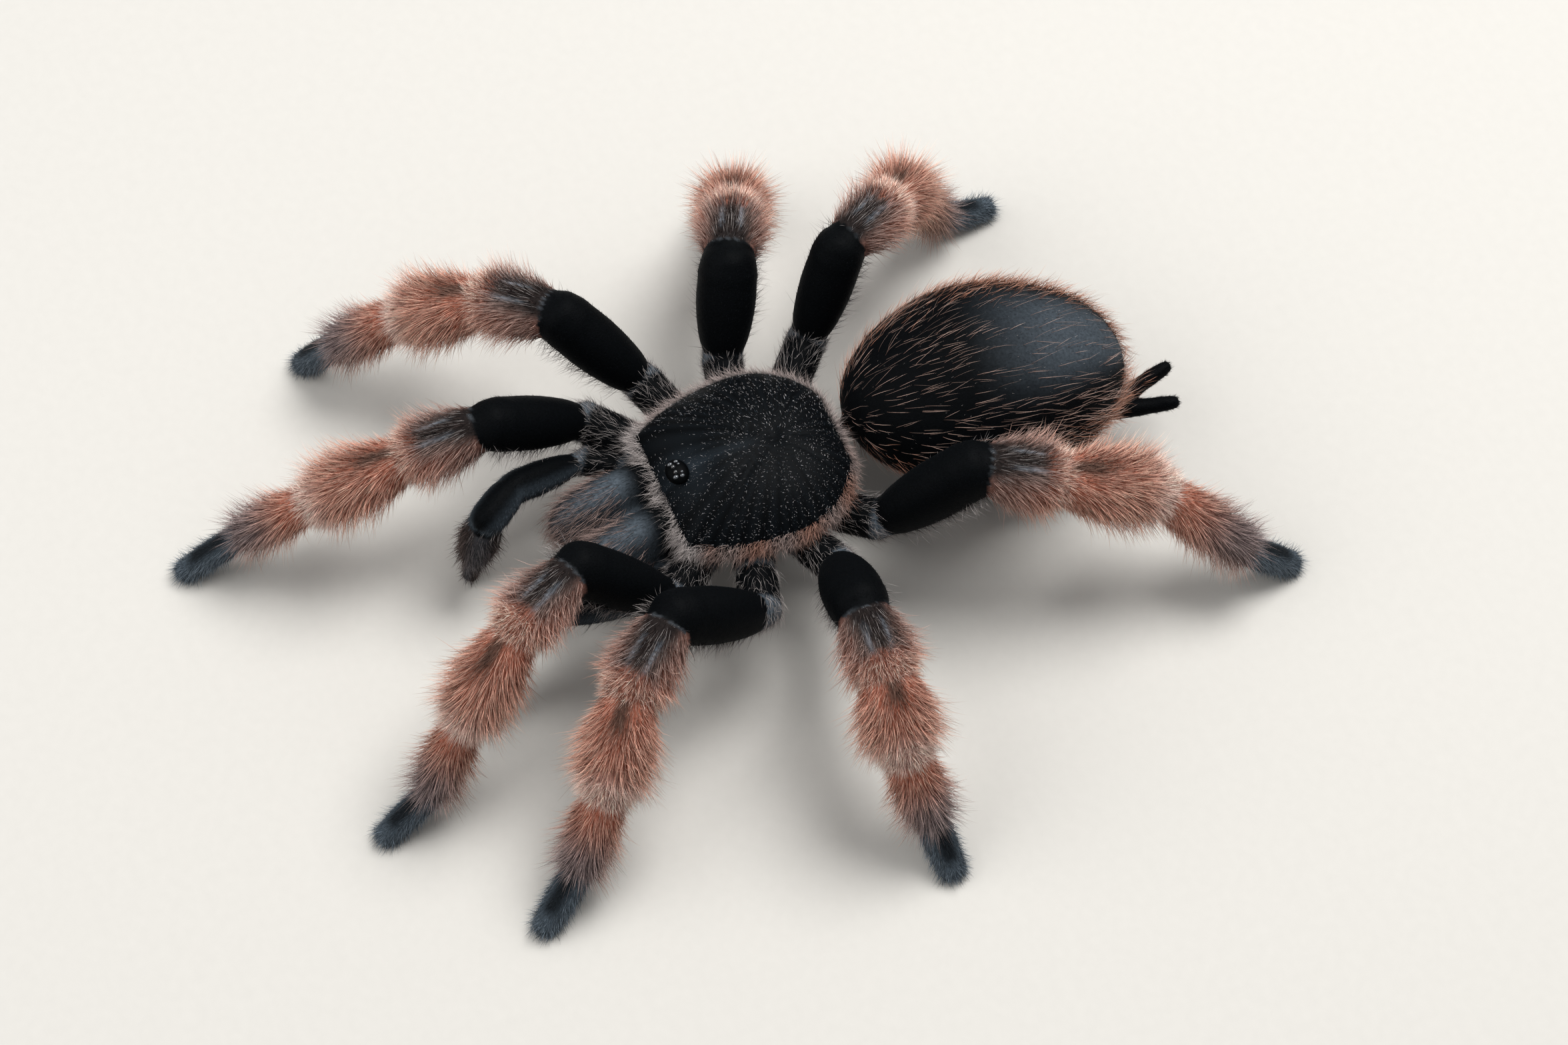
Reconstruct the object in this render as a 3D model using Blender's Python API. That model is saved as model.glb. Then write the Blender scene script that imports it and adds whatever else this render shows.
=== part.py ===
"""Tarantula standing still on flat ground, at life size.

The head faces -Y, the spider's left side is +X and +Z is up. The outer shape of every piece
reaches out to the tips of the coat. Lengths are in metres, written as millimetres times MM.
"""

import math
from collections import namedtuple

import bmesh
import bpy
from mathutils import Matrix, Vector

MM = 0.001
UP = Vector((0.0, 0.0, 1.0))
GAP = 0.3 * MM  # room left between two pieces that meet
CREASE = math.radians(40.0)  # edges bent more than this stay sharp
HALVINGS = 30  # steps of a search by halving an interval

# Carapace: the shell plate over the head and thorax
CARAPACE_LENGTH = 25.0 * MM
CARAPACE_WIDTH = 25.6 * MM
CARAPACE_FLOOR = 15.3 * MM  # height of its underside
CARAPACE_RISE = 4.9 * MM  # from the margin to the top of the thorax
CARAPACE_RIM = 1.1 * MM  # thickness of the margin
CARAPACE_SQUARENESS = 3.2  # the higher, the flatter its top and the steeper its sides
CARAPACE_SHOULDER = 0.75  # the lower, the fuller the rim of the dome
CAPUT_RISE = 0.8 * MM  # how far the head part stands above the thorax
CAPUT_HALF_WIDTH = 5.5 * MM
CAPUT_RAMP = 9.0 * MM  # the length over which the head part rises
FOVEA_Y = 3.7 * MM  # the pit behind the middle
FOVEA_DEPTH = 0.7 * MM
FOVEA_HALF_SIZE = (1.6 * MM, 0.9 * MM)
FRONT_EDGE_Y = -12.3 * MM
REAR_EDGE_Y = FRONT_EDGE_Y + CARAPACE_LENGTH
WIDEST_Y = 2.0 * MM
FRONT_ARC = 20.5 * MM  # the larger, the squarer the front corners
REAR_ARC = 11.8 * MM
UNDERSIDE_SCALE = 0.985  # the margin leans in a little downwards

# Eyes: eight lenses on one mound
EYE_MOUND_Y = -9.6 * MM
EYE_MOUND_SPREAD = 0.7  # how far out on the plate's front slope it sits
EYE_MOUND_SIZE = Vector((1.45, 1.2, 1.15)) * MM  # half sizes
EYES = (  # across, along, lens radius, in millimetres, for the left four
    (0.42, -0.35, 0.34),
    (1.02, -0.55, 0.30),
    (1.12, 0.28, 0.28),
    (0.62, 0.42, 0.22),
)

# Chelicerae and fangs. A pair of values is the back end's and the front end's.
JAW_LENGTH = 13.0 * MM
JAW_BACK_Y = -12.75 * MM
JAW_BACK_HEIGHT = 12.9 * MM
JAW_DROP = 4.0 * MM
JAW_BEND = 1.6  # 1 drops evenly, more drops mostly towards the front end
JAW_OFFSET = (2.75 * MM, 3.6 * MM)  # from the middle line of the spider
JAW_HALF_WIDTH = (2.5 * MM, 3.35 * MM)
JAW_HALF_HEIGHT = (4.5 * MM, 3.0 * MM)
JAW_ROUNDED_FROM = 0.55  # where its blunt front end starts to round
JAW_BLUNTNESS = 0.02  # the square of the share of its radius that its front end keeps
FANG_REACH = 6.0 * MM  # how far it would reach back under the jaw in a quarter turn
FANG_RADIUS = (0.95 * MM, 0.15 * MM)  # root, tip
FANG_OFFSET = (4.3 * MM, 2.65 * MM)
FANG_ROOT_ALONG = 0.83  # along the chelicera
FANG_HEIGHT = 6.45 * MM
FANG_BOW = 1.65 * MM  # how far it bows down between its root and its tip
FANG_SWING = math.radians(70.0)

# Underside: sternum and the ring of hips
STERNUM_CENTRE = Vector((0.0, 0.5, 11.4)) * MM
STERNUM_SIZE = Vector((8.8, 9.4, 4.0)) * MM  # half sizes
HIP_ROOT_REACH = 0.42  # a hip starts this far out from the sternum's middle towards its leg
HIP_HEIGHT = 11.6 * MM
HIP_RADIUS = 3.1 * MM
HIP_ROOT_SHARE = 0.92  # a hip's radius at its root as a share of that at its leg
PALP_HIP_HEIGHT = 10.0 * MM
PALP_HIP_RADIUS = 2.15 * MM

# Abdomen
ABDOMEN_CENTRE = Vector((0.2, 33.6, 15.0)) * MM
ABDOMEN_LENGTH = 40.4 * MM
ABDOMEN_HALF_WIDTH = 14.9 * MM
ABDOMEN_HALF_HEIGHT = 12.6 * MM
ABDOMEN_YAW = math.radians(10.0)  # its rear end swings to the spider's left
ABDOMEN_BULGE = 0.06  # how much fuller it is behind than in front
ABDOMEN_BLUNTNESS = 0.0004  # the square of the share of its radius that its two ends keep
WAIST_START = Vector((-0.9, 10.5, 12.0)) * MM
WAIST_END = Vector((0.5, -0.85, -1.35)) * MM  # seen from the abdomen's front end
WAIST_HALF_SIZE = (1.5 * MM, 1.2 * MM)
SPINNERET_LENGTH = 7.4 * MM
SPINNERET_RADIUS = 0.95 * MM
SPINNERET_TAPER = (1.0, 0.95, 0.55)  # shares of that radius at its root, middle and tip
SPINNERET_HEIGHT = 7.4 * MM
SPINNERETS = {  # across at the root, in millimetres, and bearing in degrees, as for a leg
    "spinneret_left": (5.5, 162.0),
    "spinneret_right": (7.2, 191.0),
}
SPINNERET_PITCH = 8.0

# Legs: lengths from the hip outwards, in millimetres
LEG_LENGTHS = {
    1: (16.5, 10.8, 14.2, 12.7, 8.5),
    2: (15.5, 10.4, 12.6, 12.3, 8.5),
    3: (13.7, 8.9, 9.9, 12.2, 7.8),
    4: (16.5, 10.2, 14.2, 16.2, 9.2),
}
LEG_THICKNESS = {1: 0.95, 2: 1.0, 3: 1.04, 4: 1.03}
PALP_LENGTHS = (11.8, 6.2, 8.4, 7.4)
PALP_THICKNESS = 0.7
# Coat radius at the start, the middle and the end of each segment, in millimetres
COAT_RADII = {
    "femur": (2.8, 4.1, 3.9),
    "patella": (3.9, 4.4, 4.2),
    "tibia": (4.2, 5.1, 4.2),
    "metatarsus": (3.7, 3.8, 2.9),
    "tarsus": (2.3, 2.35, 2.0),
}
JOINT_ROUNDING = 1.6  # how slowly a segment rounds off past its joints, in its own radii
FOOT_ROUNDED_FROM = 0.62
FOOT_BLUNTNESS = 0.78  # 0 ends a foot flat across, 1 ends it in a full round
FOOT_SAMPLES = 40  # places along a foot at which its lowest point is sought
GROUND = 0.0
SOLE_DEPTH = 0.22 * MM  # how much of each foot is cut off flat at the ground

# Stance: the joint at the hip, then each segment's bearing and pitch in degrees. A bearing is
# 0 straight ahead and 90 straight out to the leg's own side; a pitch is up when positive.
# The last segment's pitch follows from the ground, so it isn't listed.
# Size scales the whole limb, and foot scales its last segment once more.
Limb = namedtuple("Limb", "side hip bearings pitches size foot", defaults=(1.0, 1.0))
LEFT = 1
RIGHT = -1
REGROWN = 0.92  # the right fourth leg is slimmer and shorter than its fellow
STRETCHED_FOOT = {1: 1.2, 2: 1.12}  # the right first and second legs reach out flatter
LEGS = {
    "leg_left_1": Limb(LEFT, (13.6, -16.0, 13.8), (-20, 28, 25, 24, 12), (45, -3, -43, -56)),
    "leg_left_2": Limb(LEFT, (19.5, -5.9, 13.0), (-1, 38, 52, 37, 31), (37, -15, -26, -51)),
    "leg_left_3": Limb(LEFT, (17.0, 5.5, 13.2), (79, 88, 81, 106, 95), (41, -9, -28, -62)),
    "leg_left_4": Limb(LEFT, (12.4, 13.3, 12.0), (165, 156, 160, 140, 170), (45, -18, -16, -37)),
    "leg_right_1": Limb(
        RIGHT,
        (16.7, -16.2, 12.5),
        (-8, 11, 7, 16, 8),
        (38, -21, -22, -33),
        foot=STRETCHED_FOOT[1],
    ),
    "leg_right_2": Limb(
        RIGHT,
        (19.0, -6.8, 12.2),
        (42, 46, 30, 20, 44),
        (45, -14, -26, -35),
        foot=STRETCHED_FOOT[2],
    ),
    "leg_right_3": Limb(RIGHT, (17.8, 3.8, 13.0), (121, 117, 112, 111, 110), (55, -14, -43, -61)),
    "leg_right_4": Limb(
        RIGHT, (15.9, 15.2, 13.3), (148, 156, 132, 162, 179), (62, -7, -41, -69), REGROWN
    ),
}
PALPS = {
    "palp_left": Limb(LEFT, (10.4, -18.6, 10.4), (-10, 4, 22, 20), (14, 4, -68)),
    "palp_right": Limb(RIGHT, (11.8, -18.6, 11.2), (-16, -36, 30, 50), (24, 4, -78)),
}

# Facets: how many sides a tube has round it, and into how many rings it is cut lengthwise
LEG_SIDES = 12
PALP_SIDES = 10
SEGMENT_RINGS = 5
HIP_FACETS = (12, 2)
JAW_FACETS = (16, 8)
FANG_FACETS = (8, 6)
ABDOMEN_FACETS = (24, 13)
WAIST_FACETS = (10, 1)
SPINNERET_FACETS = (10, 5)

COLOURS = {  # linear red, green, blue, then roughness
    "black_shell": ((0.006, 0.008, 0.010), 0.45),
    "black_velvet": ((0.004, 0.005, 0.006), 0.85),
    "salmon_hair": ((0.37, 0.13, 0.09), 0.8),
    "grey_brown_hair": ((0.16, 0.12, 0.11), 0.8),
    "slate_pad": ((0.045, 0.062, 0.078), 0.75),
    "black_coat": ((0.008, 0.009, 0.011), 0.7),
    "eye_lens": ((0.010, 0.010, 0.012), 0.08),
    "fang_horn": ((0.012, 0.006, 0.005), 0.2),
}
LEG_FINISHES = {
    "femur": "black_velvet",
    "patella": "grey_brown_hair",
    "tibia": "salmon_hair",
    "metatarsus": "salmon_hair",
    "tarsus": "slate_pad",
}
PALP_FINISHES = dict.fromkeys(("femur", "patella", "tibia", "tarsus"), "black_coat")


def clear_scene():
    for obj in list(bpy.data.objects):
        bpy.data.objects.remove(obj, do_unlink=True)


def make_material(name):
    colour, roughness = COLOURS[name]
    material = bpy.data.materials.new(name)
    material.use_nodes = True
    shader = material.node_tree.nodes["Principled BSDF"]
    shader.inputs["Base Color"].default_value = (*colour, 1.0)
    shader.inputs["Roughness"].default_value = roughness
    shader.inputs["Metallic"].default_value = 0.0
    return material


def smooth(value):
    value = min(max(value, 0.0), 1.0)
    return value * value * (3.0 - 2.0 * value)


def blend(ends, share):
    return ends[0] + (ends[1] - ends[0]) * share


def placement(origin, direction):
    """A frame at origin whose Z runs along direction and whose Y is its upper side."""
    across = UP.cross(direction)
    if across.length < 0.01:
        across = Vector((1.0, 0.0, 0.0))
    across.normalize()
    upper = direction.cross(across).normalized()
    turn = Matrix((across, upper, direction.normalized())).transposed()
    return Matrix.Translation(origin) @ turn.to_4x4()


def face_outwards(shape):
    bmesh.ops.recalc_face_normals(shape, faces=shape.faces)
    if shape.calc_volume(signed=True) < 0.0:
        bmesh.ops.reverse_faces(shape, faces=shape.faces)


def add_piece(name, shape, finish, place=None):
    """Makes the object of a shape that is given in the whole model's frame."""
    place = place or Matrix.Identity(4)
    shape.transform(place.inverted())
    face_outwards(shape)
    mesh = bpy.data.meshes.new(name)
    shape.to_mesh(mesh)
    shape.free()
    mesh.shade_smooth()
    mesh.set_sharp_from_angle(angle=CREASE)
    mesh.materials.append(finishes[finish])
    obj = bpy.data.objects.new(name, mesh)
    parts.objects.link(obj)
    obj.parent = reference
    obj.matrix_basis = place
    return obj


def cut_away(shape, point, normal):
    """Cuts off what lies past the plane, on the side that normal points to, and closes the cut."""
    everything = list(shape.verts) + list(shape.edges) + list(shape.faces)
    cut = bmesh.ops.bisect_plane(
        shape, geom=everything, dist=1e-7, plane_co=point, plane_no=normal, clear_outer=True
    )
    rim = [item for item in cut["geom_cut"] if isinstance(item, bmesh.types.BMEdge)]
    bmesh.ops.contextual_create(shape, geom=rim)


def swept_tube(path, half_width, half_height, sides, rings, even=True):
    """A cylinder primitive laid along path(t), t from 0 to 1, with its section set at each ring."""
    shape = bmesh.new()
    bmesh.ops.create_cone(
        shape, cap_ends=True, segments=sides, radius1=1.0, radius2=1.0, depth=1.0
    )
    lengthwise = [e for e in shape.edges if abs(e.verts[0].co.z - e.verts[1].co.z) > 0.5]
    bmesh.ops.subdivide_edges(shape, edges=lengthwise, cuts=rings - 1, use_grid_fill=True)
    step = 0.001
    for vert in shape.verts:
        along = vert.co.z + 0.5
        if not even:  # rings crowd towards the rounded ends
            along = 0.5 - 0.5 * math.cos(math.pi * along)
        ahead = path(min(along + step, 1.0)) - path(max(along - step, 0.0))
        turn = placement(path(along), ahead.normalized())
        section = Vector((vert.co.x * half_width(along), vert.co.y * half_height(along), 0.0))
        vert.co = turn @ section
    return shape


def straight(start, end):
    return lambda along: start.lerp(end, along)


def through_three(first, middle, last):
    """The quadratic that passes these values at 0, 0.5 and 1, held level outside."""

    def value(along):
        along = min(max(along, 0.0), 1.0)
        return (
            first * (1.0 - along) * (1.0 - 2.0 * along)
            + 4.0 * middle * along * (1.0 - along)
            + last * along * (2.0 * along - 1.0)
        )

    return value


def heading(side, bearing, pitch):
    bearing, pitch = math.radians(bearing), math.radians(pitch)
    level = math.cos(pitch)
    return Vector((side * math.sin(bearing) * level, -math.cos(bearing) * level, math.sin(pitch)))


def coat_of(segment, limb, thickness):
    """The coat's radius along a segment, as a function of the share of its length."""
    return through_three(*(r * thickness * limb.size * MM for r in COAT_RADII[segment]))


def foot_radius(share, coat):
    blunt = min(max(share - FOOT_ROUNDED_FROM, 0.0) / (1.0 - FOOT_ROUNDED_FROM), 1.0)
    return coat(share) * math.sqrt(1.0 - FOOT_BLUNTNESS * blunt**2)


def foot_pitch(ankle_height, length, coat):
    """The pitch in degrees at which the foot reaches SOLE_DEPTH into the ground."""
    steep, level = -80.0, 0.0
    for _ in range(HALVINGS):
        pitch = (steep + level) / 2.0
        fall, upright = math.sin(math.radians(pitch)), math.cos(math.radians(pitch))
        shares = [step / FOOT_SAMPLES for step in range(FOOT_SAMPLES + 1)]
        lowest = min(
            ankle_height + fall * length * share - upright * foot_radius(share, coat)
            for share in shares
        )
        steep, level = (pitch, level) if lowest < GROUND - SOLE_DEPTH else (steep, pitch)
    return pitch


def joints_of(limb, lengths, thickness):
    """The limb's joints from the hip to the tip of the foot."""
    across, along, height = limb.hip
    lengths = [length * limb.size * MM for length in lengths]
    lengths[-1] *= limb.foot
    joints = [Vector((limb.side * across, along, height)) * MM]
    for length, bearing, pitch in zip(lengths, limb.bearings, limb.pitches):
        joints.append(joints[-1] + heading(limb.side, bearing, pitch) * length)
    pitch = foot_pitch(joints[-1].z, lengths[-1], coat_of("tarsus", limb, thickness))
    joints.append(joints[-1] + heading(limb.side, limb.bearings[-1], pitch) * lengths[-1])
    return joints


def hip_direction(limb):
    """From the sternum's middle line out to the limb's first joint."""
    across, along, _ = limb.hip
    return Vector((limb.side * across, along - STERNUM_CENTRE.y / MM, 0.0)).normalized()


def add_limb(name, limb, lengths, thickness, finishes_used, sides):
    """One piece for each segment. Two neighbours meet on the plane that halves their bend."""
    joints = joints_of(limb, lengths, thickness)
    runs = [(b - a).normalized() for a, b in zip(joints, joints[1:])]
    before = [hip_direction(limb)] + runs[:-1]
    for index, segment in enumerate(finishes_used):
        start, end, run = joints[index], joints[index + 1], runs[index]
        length = (end - start).length
        is_foot = segment == "tarsus"
        coat = coat_of(segment, limb, thickness)
        spare = coat(0.5)  # run past each joint, so that the cut leaves a full corner
        past_end = 0.0 if is_foot else spare
        total = length + spare + past_end

        def radius_at(along, total=total, spare=spare, length=length, coat=coat, foot=is_foot):
            place = along * total - spare
            past = max(-place, place - length, 0.0)
            rounding = math.sqrt(1.0 - (past / (JOINT_ROUNDING * spare)) ** 2)
            share = place / length
            return (foot_radius(share, coat) if foot else coat(share)) * rounding

        path = straight(start - run * spare, end + run * past_end)
        shape = swept_tube(path, radius_at, radius_at, sides, SEGMENT_RINGS)
        halving = (before[index] + run).normalized()
        cut_away(shape, start + halving * GAP / 2.0, -halving)
        if is_foot:
            cut_away(shape, Vector((0.0, 0.0, GROUND)), -UP)
        else:
            halving = (run + runs[index + 1]).normalized()
            cut_away(shape, end - halving * GAP / 2.0, halving)
        add_piece(f"{name}_{segment}", shape, finishes_used[segment], placement(start, run))


def carapace_half_width(y):
    """Half the plate's width at y: an arc that narrows slowly forwards and quickly backwards."""
    reach = FRONT_ARC if y < WIDEST_Y else REAR_ARC
    return CARAPACE_WIDTH / 2.0 * math.sqrt(max(1.0 - ((y - WIDEST_Y) / reach) ** 2, 0.0))


def carapace_reach(turn):
    """Where the margin lies in the direction turn from the middle, seen from above."""
    across, along = math.cos(turn), math.sin(turn)
    near, far = 0.0, CARAPACE_LENGTH
    for _ in range(HALVINGS):
        reach = (near + far) / 2.0
        x, y = across * reach, along * reach
        inside = FRONT_EDGE_Y < y < REAR_EDGE_Y and abs(x) < carapace_half_width(y)
        near, far = (reach, far) if inside else (near, reach)
    return across * near, along * near


def carapace_height(x, y, spread):
    """Height of the plate's top; spread is 0 in the middle and 1 at the margin."""
    dome = CARAPACE_RISE * (1.0 - spread**CARAPACE_SQUARENESS) ** CARAPACE_SHOULDER
    head = CAPUT_RISE * math.exp(-((x / CAPUT_HALF_WIDTH) ** 2))
    head *= smooth((FOVEA_Y - y) / CAPUT_RAMP)
    pit_x, pit_y = FOVEA_HALF_SIZE
    pit = FOVEA_DEPTH * math.exp(-((x / pit_x) ** 2) - ((y - FOVEA_Y) / pit_y) ** 2)
    return CARAPACE_FLOOR + CARAPACE_RIM + dome + (head - pit) * (1.0 - spread**2)


def add_carapace():
    shape = bmesh.new()
    bmesh.ops.create_uvsphere(shape, u_segments=32, v_segments=16, radius=1.0)
    for vert in shape.verts:
        spread = min(math.hypot(vert.co.x, vert.co.y), 1.0)
        reach_x, reach_y = carapace_reach(math.atan2(vert.co.y, vert.co.x))
        x, y = reach_x * spread, reach_y * spread
        if vert.co.z < -0.01:  # the underside is flat
            vert.co = Vector((x * UNDERSIDE_SCALE, y * UNDERSIDE_SCALE, CARAPACE_FLOOR))
        else:
            vert.co = Vector((x, y, carapace_height(x, y, spread)))
    bmesh.ops.dissolve_limit(
        shape, angle_limit=math.radians(1.0), verts=shape.verts, edges=shape.edges
    )
    add_piece("carapace", shape, "black_shell")


def add_eyes():
    """The mound with its eight lenses, joined into one piece."""
    floor = carapace_height(0.0, EYE_MOUND_Y, EYE_MOUND_SPREAD) + GAP
    base = Vector((0.0, EYE_MOUND_Y, floor))
    shape = bmesh.new()
    bmesh.ops.create_uvsphere(shape, u_segments=12, v_segments=8, radius=1.0)
    for vert in shape.verts:
        vert.co = base + Vector(axis * size for axis, size in zip(vert.co, EYE_MOUND_SIZE))
    cut_away(shape, base, -UP)
    mound = add_piece("eyes", shape, "eye_lens")
    for side in (LEFT, RIGHT):
        for across, along, radius in EYES:
            x, y = side * across * MM, along * MM
            lift = 1.0 - (x / EYE_MOUND_SIZE.x) ** 2 - (y / EYE_MOUND_SIZE.y) ** 2
            centre = base + Vector((x, y, EYE_MOUND_SIZE.z * math.sqrt(max(lift, 0.05))))
            lens = bmesh.new()
            bmesh.ops.create_icosphere(
                lens, subdivisions=2, radius=radius * MM, matrix=Matrix.Translation(centre)
            )
            join_into(mound, lens, "lens_cutter")


def join_into(target, shape, name):
    """Adds a shape to an object by a Boolean union."""
    mesh = bpy.data.meshes.new(name)
    face_outwards(shape)
    shape.to_mesh(mesh)
    shape.free()
    helper = bpy.data.objects.new(name, mesh)
    helpers.objects.link(helper)
    helper.parent = reference
    helper.hide_render = True
    helper.display_type = "WIRE"
    union = target.modifiers.new("join", "BOOLEAN")
    union.operation = "UNION"
    union.object = helper


def add_jaws():
    """Each chelicera with its fang folded under its front end."""

    def rounded_front(along):
        past = max(along - JAW_ROUNDED_FROM, 0.0) / (1.0 - JAW_ROUNDED_FROM)
        return math.sqrt(max(1.0 - past * past, JAW_BLUNTNESS))

    def half_width(along):
        return blend(JAW_HALF_WIDTH, smooth(along * 2.0)) * rounded_front(along)

    def half_height(along):
        return blend(JAW_HALF_HEIGHT, along) * rounded_front(along)

    def fang_radius(along):
        return blend(FANG_RADIUS, along)

    for side, word in ((LEFT, "left"), (RIGHT, "right")):

        def middle(along, side=side):
            return Vector((
                side * blend(JAW_OFFSET, smooth(along * 2.0)),
                JAW_BACK_Y - JAW_LENGTH * along,
                JAW_BACK_HEIGHT - JAW_DROP * along**JAW_BEND,
            ))

        def hook(along, side=side):
            swing = along * FANG_SWING
            return Vector((
                side * blend(FANG_OFFSET, along),
                middle(FANG_ROOT_ALONG).y + FANG_REACH * math.sin(swing),
                FANG_HEIGHT - FANG_BOW * math.sin(2.0 * swing),
            ))

        chelicera = swept_tube(middle, half_width, half_height, *JAW_FACETS)
        cut_away(chelicera, Vector((0.0, JAW_BACK_Y, 0.0)), Vector((0.0, 1.0, 0.0)))
        cut_away(chelicera, Vector((side * GAP / 2.0, 0.0, 0.0)), Vector((-side, 0.0, 0.0)))
        add_piece(f"chelicera_{word}", chelicera, "black_coat")
        fang = swept_tube(hook, fang_radius, fang_radius, *FANG_FACETS)
        add_piece(f"fang_{word}", fang, "fang_horn")


def add_underside():
    """The sternum with the hips of the eight legs and two palps, joined into one piece."""
    shape = bmesh.new()
    bmesh.ops.create_uvsphere(shape, u_segments=18, v_segments=8, radius=1.0)
    for vert in shape.verts:
        vert.co = STERNUM_CENTRE + Vector(a * b for a, b in zip(vert.co, STERNUM_SIZE))
    ceiling = UP * (CARAPACE_FLOOR - GAP)
    cut_away(shape, ceiling, UP)
    sternum = add_piece("sternum_and_coxae", shape, "black_coat")
    for limb, lengths, thickness, radius, height in hips():
        joints = joints_of(limb, lengths, thickness)
        run = (joints[1] - joints[0]).normalized()
        out = hip_direction(limb)
        root = STERNUM_CENTRE.lerp(joints[0], HIP_ROOT_REACH)
        root.z = height

        def hip_radius(along, radius=radius):
            return radius * blend((HIP_ROOT_SHARE, 1.0), along)

        path = straight(root, joints[0] + out * radius)
        hip = swept_tube(path, hip_radius, hip_radius, *HIP_FACETS)
        halving = (out + run).normalized()
        cut_away(hip, joints[0] - halving * GAP / 2.0, halving)
        cut_away(hip, ceiling, UP)
        join_into(sternum, hip, "hip")


def hips():
    for name, limb in LEGS.items():
        pair = int(name[-1])
        yield limb, LEG_LENGTHS[pair], LEG_THICKNESS[pair], HIP_RADIUS, HIP_HEIGHT
    for limb in PALPS.values():
        yield limb, PALP_LENGTHS, PALP_THICKNESS, PALP_HIP_RADIUS, PALP_HIP_HEIGHT


def abdomen_axis():
    return Vector((math.sin(ABDOMEN_YAW), math.cos(ABDOMEN_YAW), 0.0))


def abdomen_fullness(along):
    lean = 2.0 * along - 1.0
    return math.sqrt(max(1.0 - lean * lean, ABDOMEN_BLUNTNESS)) * (1.0 + ABDOMEN_BULGE * lean)


def add_abdomen():
    axis = abdomen_axis()
    front = ABDOMEN_CENTRE - axis * ABDOMEN_LENGTH / 2.0
    back = ABDOMEN_CENTRE + axis * ABDOMEN_LENGTH / 2.0
    shape = swept_tube(
        straight(front, back),
        lambda along: ABDOMEN_HALF_WIDTH * abdomen_fullness(along),
        lambda along: ABDOMEN_HALF_HEIGHT * abdomen_fullness(along),
        *ABDOMEN_FACETS,
        even=False,
    )
    add_piece("abdomen", shape, "black_coat", placement(ABDOMEN_CENTRE, axis))
    across, high = WAIST_HALF_SIZE
    waist = swept_tube(
        straight(WAIST_START, front + WAIST_END),
        lambda along: across,
        lambda along: high,
        *WAIST_FACETS,
    )
    add_piece("pedicel", waist, "black_coat")


def outside_abdomen(point, margin):
    """Whether a ball of radius margin round the point clears the abdomen."""
    offset = point - ABDOMEN_CENTRE
    axis = abdomen_axis()
    lengthwise = offset.dot(axis)
    along = lengthwise / ABDOMEN_LENGTH + 0.5
    if not 0.0 < along < 1.0:
        return True
    full = abdomen_fullness(along)
    sideways = (offset - axis * lengthwise).xy.length / (ABDOMEN_HALF_WIDTH * full + margin)
    return math.hypot(sideways, offset.z / (ABDOMEN_HALF_HEIGHT * full + margin)) > 1.0


def add_spinnerets():
    """Two blunt fingers that stand out under the abdomen's rear end."""

    def radius(along):
        return SPINNERET_RADIUS * through_three(*SPINNERET_TAPER)(along)

    for name, (across, bearing) in SPINNERETS.items():
        run = heading(LEFT, bearing, SPINNERET_PITCH)
        start = Vector((across * MM, ABDOMEN_CENTRE.y, SPINNERET_HEIGHT))
        start.y += ABDOMEN_LENGTH / 4.0
        while not outside_abdomen(start, SPINNERET_RADIUS * 1.1):
            start += run * GAP
        path = straight(start, start + run * SPINNERET_LENGTH)
        shape = swept_tube(path, radius, radius, *SPINNERET_FACETS)
        add_piece(name, shape, "black_coat")


def centre_on_ground():
    """Moves the model so that its origin is the middle of its box, at ground level."""
    bpy.context.view_layer.update()
    corners = [obj.matrix_world @ Vector(c) for obj in parts.objects for c in obj.bound_box]
    middle = [(min(c[i] for c in corners) + max(c[i] for c in corners)) / 2.0 for i in (0, 1)]
    reference.location = Vector((-middle[0], -middle[1], -GROUND))


clear_scene()
parts = bpy.data.collections.new("tarantula")
helpers = bpy.data.collections.new("tarantula_cutters")
bpy.context.scene.collection.children.link(parts)
bpy.context.scene.collection.children.link(helpers)
reference = bpy.data.objects.new("tarantula_reference", None)
bpy.context.scene.collection.objects.link(reference)
finishes = {name: make_material(name) for name in COLOURS}

add_carapace()
add_eyes()
add_jaws()
add_underside()
add_abdomen()
add_spinnerets()
for limb_name, limb in LEGS.items():
    pair = int(limb_name[-1])
    add_limb(limb_name, limb, LEG_LENGTHS[pair], LEG_THICKNESS[pair], LEG_FINISHES, LEG_SIDES)
for limb_name, limb in PALPS.items():
    add_limb(limb_name, limb, PALP_LENGTHS, PALP_THICKNESS, PALP_FINISHES, PALP_SIDES)
centre_on_ground()
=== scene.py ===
"""Finishes a standing tarantula over its solid model: skin, plate, eyes, fangs, claws and coat.

Lengths are in metres. The head faces -Y, the spider's left side is +X and +Z is up.
"""

import math
from collections import namedtuple
from functools import partial

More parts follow.
